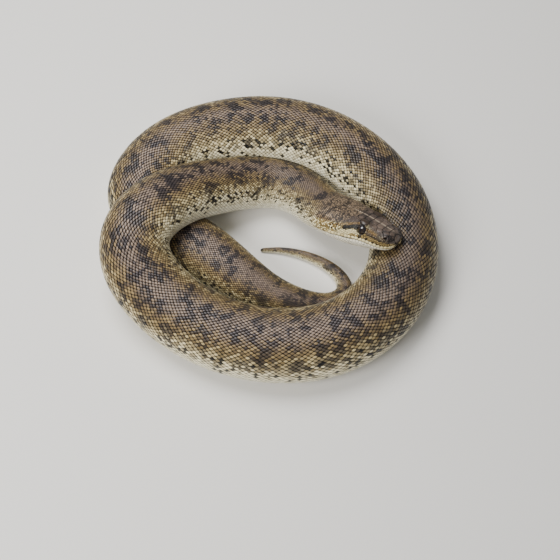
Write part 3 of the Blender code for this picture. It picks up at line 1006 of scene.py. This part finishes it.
def lay(hide, at, place, template, half_length, half_width, height, turn):
    """Points of copies of a template over the skin, at these distances and places, with its
    tip to the tail. Each is stretched along the body as the skin is there."""
    step, turned = 0.0005, 0.004
    here, _ = hide.look(at, place)
    there, _ = hide.look(at - step, place)
    beside, _ = hide.look(at, place + turned)
    stretch = np.clip(np.linalg.norm(there - here, axis=1) / step, 0.45, 2.0)
    girth = np.maximum(np.linalg.norm(beside - here, axis=1) / turned, 1e-4)
    x, y, high = template[0].T[:, None]
    tailward = x * (half_length * stretch**0.85)[:, None]
    sideways = y * half_width[:, None]
    cos, sin = np.cos(turn)[:, None], np.sin(turn)[:, None]
    over = at[:, None] - (tailward * cos - sideways * sin) / stretch[:, None]
    round_it = place[:, None] + (tailward * sin + sideways * cos) / girth[:, None]
    points, normals = hide.look(np.clip(over, 0, hide.at[-1]), round_it)
    points = points + normals * (high * height[:, None])[..., None]
    points[..., 2] = np.maximum(points[..., 2], SCALES_OFF_FLOOR)
    return points


def row_growth():
    """Places round the body, how many rows lie between each and the mid-back, as a share of
    half the girth, and how much wider the scales are there."""
    place = np.linspace(0, 1, 400)
    width = 1 + 0.42 * smooth((place - 0.15) / 0.55)
    between = (1 / width[1:] + 1 / width[:-1]) / 2 * (place[1] - place[0])
    return place, np.concatenate(([0.0], np.cumsum(between))), width


def scale_spots(hide, start, end, lowest):
    """Where each scale's middle lies, in rows that step by half a scale: distance, place,
    length and half width."""
    at, spacing = scale_spacing(hide.flesh)
    count = scale_count(at, spacing)
    place, rows, width = row_growth()
    girth_at = np.interp(at, hide.at, hide.girth)
    pitch = spacing / LENGTH_OVER_PITCH
    most = int((girth_at / pitch).max() * rows[-1]) + 2
    found = []
    for row in range(-most, most + 1):
        steps = np.arange(0, count[-1]) + (0.5 if row % 2 else 0.0)
        where = np.interp(steps, count, at)
        share = abs(row) * np.interp(where, at, pitch) / np.interp(where, at, girth_at)
        over = np.interp(share, rows, place, right=2.0)
        kept = (over < lowest) & (where > start) & (where < end)
        size = np.interp(where, at, spacing)
        wide = size / LENGTH_OVER_PITCH * np.interp(over, place, width)
        found.append(np.column_stack((where, np.sign(row) * over, size, wide))[kept])
    return np.vstack(found)


def body_scales(hide, material, relief):
    """All the diamond scales from the tail tip to the nape, as pieces along the body."""
    random = np.random.default_rng(11)
    spots = scale_spots(hide, 0.004, hide.flesh.nape + PLATES_FROM, BELLY_FROM)
    spots = spots[np.argsort(spots[:, 0], kind="stable")]
    spots[:, 0] += random.normal(0, 0.022, len(spots)) * spots[:, 2]
    girth = np.interp(spots[:, 0], hide.at, hide.girth)
    spots[:, 1] += random.normal(0, 0.022, len(spots)) * spots[:, 3] / girth
    template = scale_template()
    shape, triangles, _ = template
    pieces = int(np.ceil(len(spots) * len(triangles) / MOST_TRIANGLES))
    made = []
    for number, part in enumerate(np.array_split(spots, pieces), 1):
        at, place, size, wide = part.T
        slack = random.normal(1.0, 0.035, len(part))
        turn = random.normal(0.0, 0.035, len(part))
        big = wide / (size / LENGTH_OVER_PITCH)
        height = relief * COAT * size * random.normal(1.0, 0.06, len(part))
        points = lay(hide, at, place, template, 0.565 * size * big**0.5 * slack, 1.01 * wide * slack,
                     height, turn)
        girth = np.interp(at, hide.at, hide.girth)
        root = unwrap(at, place, at.min() - 0.002, at.max() + 0.002)
        each = dict(place=np.column_stack((at, place * girth, place)),
                    chance=random.random(len(part)), pick=random.random(len(part)))
        made.append(joined(f"scales_{number:02d}", template, points, material,
                           root[:, None] + PATCH * shape[None, :, :2], each, **face_values(hide, points)))
    return made


def belly_plates(hide, material):
    """Wide plates across the belly, each one scale long."""
    random = np.random.default_rng(12)
    at, spacing = scale_spacing(hide.flesh)
    count = scale_count(at, spacing)
    where = np.interp(np.arange(1, count[-1]), count, at)
    where = where[(where > 0.006) & (where < hide.flesh.nape + PLATES_FROM)]
    size = np.interp(where, at, spacing)
    template = plate_template()
    shape = template[0]
    girth = np.interp(where, hide.at, hide.girth)
    wide = BELLY_TO - BELLY_FROM
    points = lay(hide, where, np.ones_like(where), template, 0.58 * size, wide * girth,
                 COAT * 0.8 * size, 0 * size)
    root = unwrap(where, np.zeros_like(where), 0.0, hide.flesh.length)
    uv = root[:, None] + np.array((0.0012, 0.30)) * shape[None, :, :2]
    over = (1 - np.abs(shape[:, 1]) * wide) * np.where(shape[:, 1] > 0, -1, 1)
    at, over = np.broadcast_arrays(where[:, None], over[None])
    place = np.stack((at, over * girth[:, None], over), axis=-1)
    each = dict(chance=0.35 + 0.3 * random.random(len(where)), pick=random.random(len(where)))
    return joined("belly_plates", template, points, material, uv, each, place=place,
                  **face_values(hide, points))


# ---------------------------------------------------------------- the head's plates

PLAIN, UPPER_LIP, LOWER_LIP, HOLE, SHIELD = range(5)

# Large shields on the snout and crown: distance from the nape, place across, half size, in mm.
SHIELDS = (
    (126.5, 4.4, 4.4), (119.5, 10.4, 3.2), (116.0, 4.6, 5.0), (108.5, 13.2, 3.6), (105.5, 5.0, 5.8),
    (99.0, 13.4, 3.8), (94.0, 4.8, 5.4), (93.0, 11.6, 3.4), (83.0, 4.2, 4.8), (83.5, 16.6, 7.0),
    (72.5, 3.8, 4.6), (73.0, 10.8, 3.6), (65.0, 3.6, 3.2),
)
# The crown ahead of, between and above these holds only shields.
SHIELDED_FROM, SHIELDED_ACROSS, SHIELDED_ABOVE = 0.064, 0.0155, 0.007
# The rows of plates along the mouth: height of their middles over it, distance between them,
# half size, how far the last one is from the middle of the snout, kind.
LIP_ROWS = ((0.0026, 0.0056, 0.0027, 0.0055, UPPER_LIP), (-0.0026, 0.0047, 0.0025, 0.0045, LOWER_LIP))
PLATE_GAP, MOUTH_GAP = 0.00016, 0.0007
REACH = 2.4  # how far a plate without neighbours goes, over its half size
NARROWEST, SHORTEST_EDGE = 0.0007, 0.00004
SOFTENED, LARGE = 0.0016, 0.0022  # plates larger than these are softened, and more finely domed
REAR_TILT = 0.00014  # how much a small plate's rear rises
# The rings of a plate: how far in from the outline, height over the plate's, height added, and
# how dark the edge is there.
LARGE_RINGS = ((0.0, 0.0, -0.00035, 1.0), (0.0, 0.0, 0.00008, 0.62), (0.08, 0.80, 0.0, 0.34),
               (0.32, 1.0, 0.0, 0.16), (0.68, 1.10, 0.0, 0.0))
SMALL_RINGS = ((0.0, 0.0, -0.00025, 1.0), (0.10, 0.70, 0.0, 0.58), (0.42, 1.0, 0.0, 0.10))


class Seeds:
    """The middles of the head's plates: distance from the tail tip, place, half size, kind."""

    def __init__(self, hide):
        self.hide = hide
        self.rows = []

    def ring(self, along):
        """Places round the right side of the section this far from the nape, with local points."""
        place = np.linspace(0.002, 0.998, 220)
        points, _ = self.hide.look(np.full(len(place), self.hide.flesh.nape + along), place)
        return place, self.hide.head.local(points)

    def mouth_run(self, offset):
        """The line this far above or below the mouth, from the jaw's corner to the middle of
        the snout: how long it is so far, distance from the nape, place."""
        found = []
        for along in np.linspace(PLATES_FROM, HEAD_LENGTH - 0.0002, 500):
            place, local = self.ring(along)
            high = local[:, 2]
            wanted = mouth_height(along) + offset
            if high.min() < wanted < high.max():
                order = np.argsort(high)
                found.append((along, float(np.interp(wanted, high[order], place[order]))))
        along, place = np.array(found).T
        points, _ = self.hide.look(self.hide.flesh.nape + along, place)
        run = np.concatenate(([0.0], np.cumsum(np.linalg.norm(np.diff(points, axis=0), axis=1))))
        return run, along, place

    def pair(self, along, place, size, kind):
        """A plate on each side, this far from the nape."""
        for sign in (1, -1):
            self.rows.append((self.hide.flesh.nape + along, sign * place, size, kind))

    def near(self, local, size, kind):
        """A plate at the place on the skin nearest to a point."""
        self.rows.append((*self.hide.nearest(local), size, kind))

    def add_crown(self):
        """The shield on the snout's tip, and the shields of the snout and crown."""
        self.rows.append((self.hide.flesh.length - 0.0006, 0.0, 0.0052, SHIELD))
        for along, across, size in SHIELDS:
            place, local = self.ring(along * MM)
            top = place < 0.5
            where = float(np.interp(across * MM, local[top, 1], place[top]))
            self.pair(along * MM, where, size * MM, SHIELD)

    def add_lips(self):
        """The rows of lip plates, and the plate at the chin's tip."""
        for offset, spacing, size, short, kind in LIP_ROWS:
            run, along, place = self.mouth_run(offset)
            end = run[-1] - short
            for stop in np.linspace(0.002, end, round((end - 0.002) / spacing) + 1):
                self.pair(float(np.interp(stop, run, along)), float(np.interp(stop, run, place)), size, kind)
        _, along, _ = self.mouth_run(-0.0030)
        self.rows.append((self.hide.flesh.nape + along[-1], 0.999, 0.0030, LOWER_LIP))

    def add_eye(self, sign):
        """The opening for an eye, and the ring of small plates round it below the brow."""
        middle, look = eye_place(sign), eye_axis(sign)
        self.near(middle + look * EYE_RADIUS, 0.0056, HOLE)
        across = unit(np.cross(look, (1.0, 0.0, 0.0)))
        ahead = np.cross(across, look)
        for turn in np.linspace(0, 2 * np.pi, 13)[:-1]:
            out = ahead * np.cos(turn) + across * np.sin(turn)
            if out[2] <= 0.75:
                self.near(middle + look * 0.0045 + out * 0.0086, 0.0017, PLAIN)

    def add_nostril(self, sign):
        """The opening of a nostril, the plates round it, and the shield beside the snout's tip."""
        nostril = nostril_place(sign)
        self.near(nostril, 0.0028, HOLE)
        self.near((HEAD_LENGTH - 0.0035, sign * 0.0105, -0.0010), 0.0034, SHIELD)
        for turn in np.radians((20, 92, 164, 236, 308)):
            beside = np.array((0.0042 * np.cos(turn), sign * 0.001, 0.0040 * np.sin(turn)))
            self.near(nostril + beside, 0.0027, PLAIN)


def head_seeds(hide):
    """Seeds for shields, lip plates, eyes and nostrils, the same on both sides."""
    seeds = Seeds(hide)
    seeds.add_crown()
    seeds.add_lips()
    for sign in (1, -1):
        seeds.add_eye(sign)
        seeds.add_nostril(sign)
    return np.array(seeds.rows)


def small_seeds(hide, fixed, random):
    """Seeds for the small scales, in the body's rows, where the fixed ones leave room. The
    first of them lie under the body's own scales, so they are holes."""
    start = hide.flesh.nape + PLATES_FROM
    spots = scale_spots(hide, start - 0.008, hide.flesh.length - 0.003, 0.985)
    kind = np.where(spots[:, 0] < start, HOLE, PLAIN)
    small = np.column_stack((spots[:, :2], spots[:, 2] * 0.42, kind))
    jitter = random.normal(0, 0.00018, (len(small), 2))
    jitter[:, 1] /= np.interp(small[:, 0], hide.at, hide.girth)
    small[:, :2] += jitter
    points, _ = hide.look(small[:, 0], small[:, 1])
    fixed_points, _ = hide.look(fixed[:, 0], fixed[:, 1])
    away = np.linalg.norm(points[:, None] - fixed_points[None], axis=2)
    free = (away > 0.90 * (fixed[:, 2] + 0.0013)).all(axis=1)
    along, across, high = hide.head.local(points).T
    crown = (along > SHIELDED_FROM) & (np.abs(across) < SHIELDED_ACROSS) & (high > SHIELDED_ABOVE)
    return small[free & ~crown]


def clip(polygon, direction, limit):
    """The part of a convex polygon on the near side of a line."""
    side = polygon @ direction - limit
    kept = []
    for k in range(len(polygon)):
        m = (k + 1) % len(polygon)
        if side[k] <= 0:
            kept.append(polygon[k])
        if (side[k] < 0) != (side[m] < 0) and side[k] != side[m]:
            t = side[k] / (side[k] - side[m])
            kept.append(polygon[k] + t * (polygon[m] - polygon[k]))
    return np.array(kept).reshape(-1, 2)


def soften(polygon, share):
    """Cuts each corner of a polygon."""
    cut = share * (np.roll(polygon, -1, axis=0) - polygon)
    return np.stack((polygon + cut, np.roll(polygon, -1, axis=0) - cut), 1).reshape(-1, 2)


def plate_outline(k, points, size, kind, first, second):
    """The cell of one plate among its neighbours, flat round its middle, or None if it has no
    room. A larger neighbour takes more of the way between them."""
    apart = points - points[k]
    far = np.linalg.norm(apart, axis=1)
    near = np.flatnonzero((far < 2.6 * (size[k] + size) + 0.002) & (far > 1e-6))
    turn = np.linspace(0, 2 * np.pi, 9)[:-1] + 0.39
    polygon = np.column_stack((np.cos(turn), np.sin(turn))) * (size[k] * REACH)
    for j in near[np.argsort(far[near])]:
        flat = np.array((apart[j] @ first, apart[j] @ second))
        length = np.linalg.norm(flat)
        if length < 1e-6 or len(polygon) < 3:
            continue
        limit = (far[j] ** 2 + size[k] ** 2 - size[j] ** 2) / (2 * far[j])
        lips = {kind[k], kind[j]} == {UPPER_LIP, LOWER_LIP}
        limit -= (MOUTH_GAP if lips else PLATE_GAP) / 2
        polygon = clip(polygon, flat / length, limit)
    if len(polygon) < 3 or np.ptp(polygon, axis=0).min() < NARROWEST:
        return None
    if size[k] > SOFTENED:
        polygon = soften(polygon, 0.10 if kind[k] == SHIELD else 0.16)
    edges = np.linalg.norm(polygon - np.roll(polygon, 1, axis=0), axis=1)
    return polygon[edges > SHORTEST_EDGE]


def plate_mesh(outline, rings, height):
    """A closed domed plate on a convex outline: flat points, their heights, how dark the edge
    is at each, and triangles."""
    middle = outline.mean(axis=0)
    many = len(outline)
    levels = [outline + (middle - outline) * inward for inward, *_ in rings]
    flat = np.vstack(levels + [middle[None], middle[None]])
    heights = [share * height + added for _, share, added, _ in rings]
    high = np.concatenate((np.repeat(heights, many), (heights[-1], heights[0] - 0.0001)))
    rim = np.concatenate((np.repeat([dark for *_, dark in rings], many), (0.0, 1.0)))
    after = [(k + 1) % many for k in range(many)]
    corners = []
    for low in range(0, (len(rings) - 1) * many, many):
        up = low + many
        for k, m in enumerate(after):
            corners += [(low + k, low + m, up + m), (low + k, up + m, up + k)]
    top = len(rings) * many
    for k, m in enumerate(after):
        corners += [(top - many + k, top - many + m, top), (m, k, top + 1)]
    return flat, high, rim, np.array(corners)


def laid_on(tree, wanted, high, normal):
    """Points moved on to the skin and raised, leaning part of the way to the plate's normal."""
    found = []
    for point, height in zip(wanted, high):
        place, facing, _, _ = tree.find_nearest(point)
        out = np.array(facing)
        out = unit(out * np.sign(out @ normal) + 0.8 * normal)
        found.append(np.array(place) + out * height)
    return np.array(found)


def head_plates(hide, material, settings):
    """Lip plates, snout shields, eye rings and small scales, as cells round their middles."""
    random = np.random.default_rng(13)
    fixed = head_seeds(hide)
    seeds = np.vstack((fixed, small_seeds(hide, fixed, random)))
    middles, normals = hide.look(seeds[:, 0], seeds[:, 1])
    size, kind = seeds[:, 2], seeds[:, 3].astype(int)
    girth = np.interp(seeds[:, 0], hide.at, hide.girth)
    tree = hide.front_tree()
    made = {key: [] for key in ("points", "corners", "uv", "place", "face", "lip", "chance", "pick", "rim")}
    total = 0
    for k in np.flatnonzero(kind != HOLE):
        at, place = seeds[k, :2]
        normal = normals[k]
        first = unit(hide.head.axes[0] - normal * (hide.head.axes[0] @ normal))
        second = np.cross(normal, first)
        outline = plate_outline(k, middles, size, kind, first, second)
        if outline is None:
            continue
        large = size[k] > LARGE
        height = settings.shield_height if kind[k] == SHIELD else settings.plate_height
        flat, high, rim, corners = plate_mesh(outline, LARGE_RINGS if large else SMALL_RINGS, height)
        if not large:
            high = high - REAR_TILT * (flat[:, 0] / max(np.abs(flat[:, 0]).max(), 1e-6))
        points = laid_on(tree, middles[k] + first * flat[:, :1] + second * flat[:, 1:], high, normal)
        many = len(points)
        # A small plate has one place in the head's markings, unless it holds the fine line.
        marked = hide.head.local(middles[k][None]).repeat(many, 0)
        if large or (abs(marked[0, 1]) < 0.003 and marked[0, 0] > 0.03):
            marked = hide.head.local(points)
        root = unwrap(at, place, hide.flesh.nape - 0.02, hide.flesh.length + 0.002)
        for key, found in dict(
            points=points, corners=corners + total, uv=root + flat / max(np.abs(flat).max(), 1e-6) * PATCH,
            place=np.tile((at, place * girth[k], place), (many, 1)), face=marked,
            lip=marked[:, 2] - mouth_height(marked[:, 0]), chance=np.full(many, random.random()),
            pick=np.full(many, random.random()), rim=rim,
        ).items():
            made[key].append(found)
        total += many
    made = {key: np.concatenate(found) for key, found in made.items()}
    points, corners, uv = (made.pop(key) for key in ("points", "corners", "uv"))
    return whole("head_plates", points, corners, material, uv, **made)


def eye_ball(hide, sign, name, material, bulge):
    """One eye: a ball with a swollen clear front, its pupil upright."""
    free_hands()
    bpy.ops.mesh.primitive_uv_sphere_add(segments=48, ring_count=28, radius=1.0)
    made = bpy.context.object
    made.name = made.data.name = name
    look = eye_axis(sign) @ hide.head.axes
    up = unit(hide.head.axes[2] - look * (hide.head.axes[2] @ look))
    ahead = np.cross(up, look)
    x, y, z = points_of(made.data).T
    z = 0.82 * z  # less deep than wide
    swell = 1 + bulge * smooth((z - 0.60) / 0.22)
    middle = hide.head.world(eye_place(sign)) + EYE_OUT * look
    points = (x[:, None] * ahead + y[:, None] * up + z[:, None] * look) * swell[:, None]
    reshape(made.data, middle + points * EYE_SHOWN)
    keep_values(made.data, iris=np.column_stack((x, y, z)))
    face_outwards()
    made.data.shade_smooth()
    made.data.materials.append(material)
    return made


# ---------------------------------------------------------------- settings and operators


def tint(name, about, *screen):
    """A colour that a user may change."""
    return FloatVectorProperty(name=name, description=about, default=srgb(*screen), size=3,
                               subtype="COLOR", min=0.0, max=1.0)


def factor(name, about, default, low=0.0, high=1.0):
    """A share that a user may change."""
    return FloatProperty(name=name, description=about, default=default, min=low, max=high,
                         subtype="FACTOR")


def plate_rise(name, about, default):
    """The height of the head's plates, which a user may change."""
    return FloatProperty(name=name, description=about, default=default, min=0.0001, max=0.001,
                         unit="LENGTH", precision=5)


class CoatSettings(bpy.types.PropertyGroup):
    """Colours and relief of the scales, on the body and on the head"""

    back: tint("Back", "Ground colour along the middle of the back", 132, 113, 98)
    bronze: tint("Bronze", "Ground colour beside the middle of the back", 126, 105, 74)
    ochre: tint("Ochre", "Ground colour high on the flank", 140, 119, 80)
    olive: tint("Olive", "Ground colour where the flank turns pale", 190, 172, 128)
    cream: tint("Cream", "Ground colour low on the flank", 244, 232, 192)
    pale: tint("Belly", "Colour of the belly", 248, 242, 218)
    # The blotches' darkness is their own. Their blue cast is a painted sky reflection.
    blotch: tint("Blotch", "Colour of the dark blotches", 32, 29, 38)
    ink: tint("Speck", "Colour of the dark specks and of the stripe behind the eye", 9, 9, 11)
    seam: factor("Seam", "Light between dark scales, over the scales' own", 0.05)
    pale_seam: factor("Pale seam", "Light between pale scales, over the scales' own", 0.34)
    crown: tint("Crown", "Colour of the shields on the snout and crown", 98, 83, 72)
    crown_shade: tint("Crown shade", "Darker clouds on the crown and temple", 45, 38, 36)
    temple: tint("Temple", "Colour of the small scales behind the crown", 146, 124, 99)
    brow: tint("Brow", "Colour of the brow over the eye", 48, 36, 25)
    median: tint("Median line", "Colour of the fine line along the crown", 200, 180, 154)
    gold: tint("Gold", "Colour of the bands over and before the stripe", 140, 108, 56)
    lip: tint("Lip", "Pale colour of the cheek and upper lip", 242, 226, 174)
    lip_ochre: tint("Lip shade", "Darker colour of the cheek and upper lip", 158, 134, 82)
    jaw: tint("Jaw", "Colour of the lower jaw", 252, 244, 220)
    # Also the colour of the painted shade round the eye.
    shadow: tint("Line", "Colour of the dark lines on the head", 36, 28, 24)
    relief: factor("Scale relief", "Height of the body's scales, over the usual", 1.0, 0.3, 1.5)
    shield_height: plate_rise("Shield height", "Height of the shields on the crown", 0.00034)
    plate_height: plate_rise("Plate height", "Height of the head's other plates", 0.00046)


class EyeSettings(bpy.types.PropertyGroup):
    """Colours and shape of the eyes"""

    iris: tint("Iris", "Lighter flecks of the iris", 66, 48, 29)
    iris_dark: tint("Iris ground", "Ground colour of the iris", 22, 17, 13)
    pupil_width: factor("Pupil width", "Width of the pupil, over its height", 0.32, 0.1)
    swell: factor("Swell", "How far the clear front stands out, over the radius", 0.04, 0.0, 0.2)


class StageSettings(bpy.types.PropertyGroup):
    """Floor, lights and camera"""

    floor_colour: tint("Floor", "Colour of the studio floor", 232, 229, 223)
    key_power: FloatProperty(name="Overhead light", description="Power of the soft light above",
                             default=47.0, min=0.0, unit="POWER")
    sky: FloatProperty(name="Room light", description="Strength of the light from all round",
                       default=0.26, min=0.0)
    distance: FloatProperty(name="Camera distance", description="From the camera to the coil",
                            default=2.2, min=0.5, unit="LENGTH")
    elevation: FloatProperty(name="Camera height angle", description="Angle above the floor",
                             default=float(np.radians(62.0)), subtype="ANGLE")
    lens: FloatProperty(name="Lens", description="Focal length in millimetres", default=94.0, min=10.0,
                        unit="CAMERA")


class SNAKE_OT_skin(bpy.types.Operator):
    """Add the skin, one closed tube with the folds of the head"""

    bl_idname = "snake.skin"
    bl_label = "Skin"

    def execute(self, context):
        made = skin_mesh(HIDE, coat_finish("snake skin", context.scene.snake_coat, True, True))
        flesh = [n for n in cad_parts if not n.startswith("eye")]
        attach(made, "root")
        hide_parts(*flesh)
        return {"FINISHED"}


class SNAKE_OT_scales(bpy.types.Operator):
    """Add the body's scales and belly plates"""

    bl_idname = "snake.scales"
    bl_label = "Scales"

    def execute(self, context):
        settings = context.scene.snake_coat
        finish = coat_finish("snake scales", settings, True, False)
        for made in body_scales(HIDE, finish, settings.relief):
            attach(made, "root")
        made = belly_plates(HIDE, coat_finish("snake belly plates", settings, False, False))
        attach(made, "root")
        return {"FINISHED"}


class SNAKE_OT_head(bpy.types.Operator):
    """Add the head's shields, lip plates and small scales"""

    bl_idname = "snake.head"
    bl_label = "Head plates"

    def execute(self, context):
        settings = context.scene.snake_coat
        made = head_plates(HIDE, coat_finish("snake head plates", settings, True, False), settings)
        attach(made, "root")
        return {"FINISHED"}


class SNAKE_OT_eyes(bpy.types.Operator):
    """Add the two eyes"""

    bl_idname = "snake.eyes"
    bl_label = "Eyes"

    def execute(self, context):
        settings = context.scene.snake_eyes
        material = eye_finish(settings)
        for sign, name in ((1, "right"), (-1, "left")):
            made = eye_ball(HIDE, sign, f"eyeball_{name}", material, settings.swell)
            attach(made, "root")
            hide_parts(f"eye_{name}")
        return {"FINISHED"}


class SNAKE_OT_stage(bpy.types.Operator):
    """Add the floor, the lights and the camera"""

    bl_idname = "snake.stage"
    bl_label = "Studio"

    def execute(self, context):
        settings = context.scene.snake_stage
        free_hands()
        bpy.ops.mesh.primitive_plane_add(size=FLOOR_SIZE, location=(0, 0, -FLOOR_DROP))
        floor = bpy.context.object
        floor.name = "floor"
        cloth = Finish("studio floor", roughness=0.9, base_color=(*settings.floor_colour, 1.0))
        floor.data.materials.append(cloth.material)
        world = bpy.data.worlds.new("studio")
        world.use_nodes = True
        background = world.node_tree.nodes["Background"]
        background.inputs["Color"].default_value = (0.93, 0.96, 1.0, 1.0)
        background.inputs["Strength"].default_value = settings.sky
        context.scene.world = world
        for name, place, turn, size, power, shines in (
            ("overhead light", (-0.60, 0.55, 1.9), (-16, -17, 0), 1.3, 1.0, True),
            ("front light", (-1.3, -1.2, 1.5), (48, 0, -45), 1.2, 0.92, False),
        ):
            data = bpy.data.lights.new(name, "AREA")
            data.shape, data.size, data.energy = "DISK", size, settings.key_power * power
            light = bpy.data.objects.new(name, data)
            light.location = place
            light.rotation_euler = np.radians(turn)
            light.visible_glossy = shines
            context.scene.collection.objects.link(light)
        lens = bpy.data.cameras.new("camera")
        lens.lens, lens.sensor_width = settings.lens, 36.0
        camera = bpy.data.objects.new("camera", lens)
        angle = settings.elevation
        camera.location = CENTRE + settings.distance * np.array((0, -np.cos(angle), np.sin(angle)))
        camera.rotation_euler = (np.pi / 2 - angle, 0, 0)
        context.scene.collection.objects.link(camera)
        context.scene.camera = camera
        return {"FINISHED"}


class SNAKE_PT_panel(bpy.types.Panel):
    """Buttons and sizes for the coiled python"""

    bl_label = "Coiled Python"
    bl_idname = "SNAKE_PT_panel"
    bl_space_type = "VIEW_3D"
    bl_region_type = "UI"
    bl_category = "Python"

    def draw(self, context):
        for operator in OPERATORS:
            self.layout.operator(operator.bl_idname)
        for key, group in SETTINGS.items():
            box = self.layout.box()
            for name in group.__annotations__:
                box.prop(getattr(context.scene, key), name)


OPERATORS = (SNAKE_OT_skin, SNAKE_OT_scales, SNAKE_OT_head, SNAKE_OT_eyes, SNAKE_OT_stage)
SETTINGS = {"snake_coat": CoatSettings, "snake_eyes": EyeSettings, "snake_stage": StageSettings}
CLASSES = (*SETTINGS.values(), *OPERATORS, SNAKE_PT_panel)


def register():
    for cls in CLASSES:
        bpy.utils.register_class(cls)
    for key, group in SETTINGS.items():
        setattr(bpy.types.Scene, key, PointerProperty(type=group))


def unregister():
    for key in SETTINGS:
        delattr(bpy.types.Scene, key)
    for cls in reversed(CLASSES):
        bpy.utils.unregister_class(cls)


FLESH = Flesh()
HIDE = Hide(FLESH, HeadFrame(FLESH))


def main():
    register()
    bpy.ops.snake.skin()
    bpy.ops.snake.scales()
    bpy.ops.snake.head()
    bpy.ops.snake.eyes()
    bpy.ops.snake.stage()


if __name__ == "__main__":
    main()
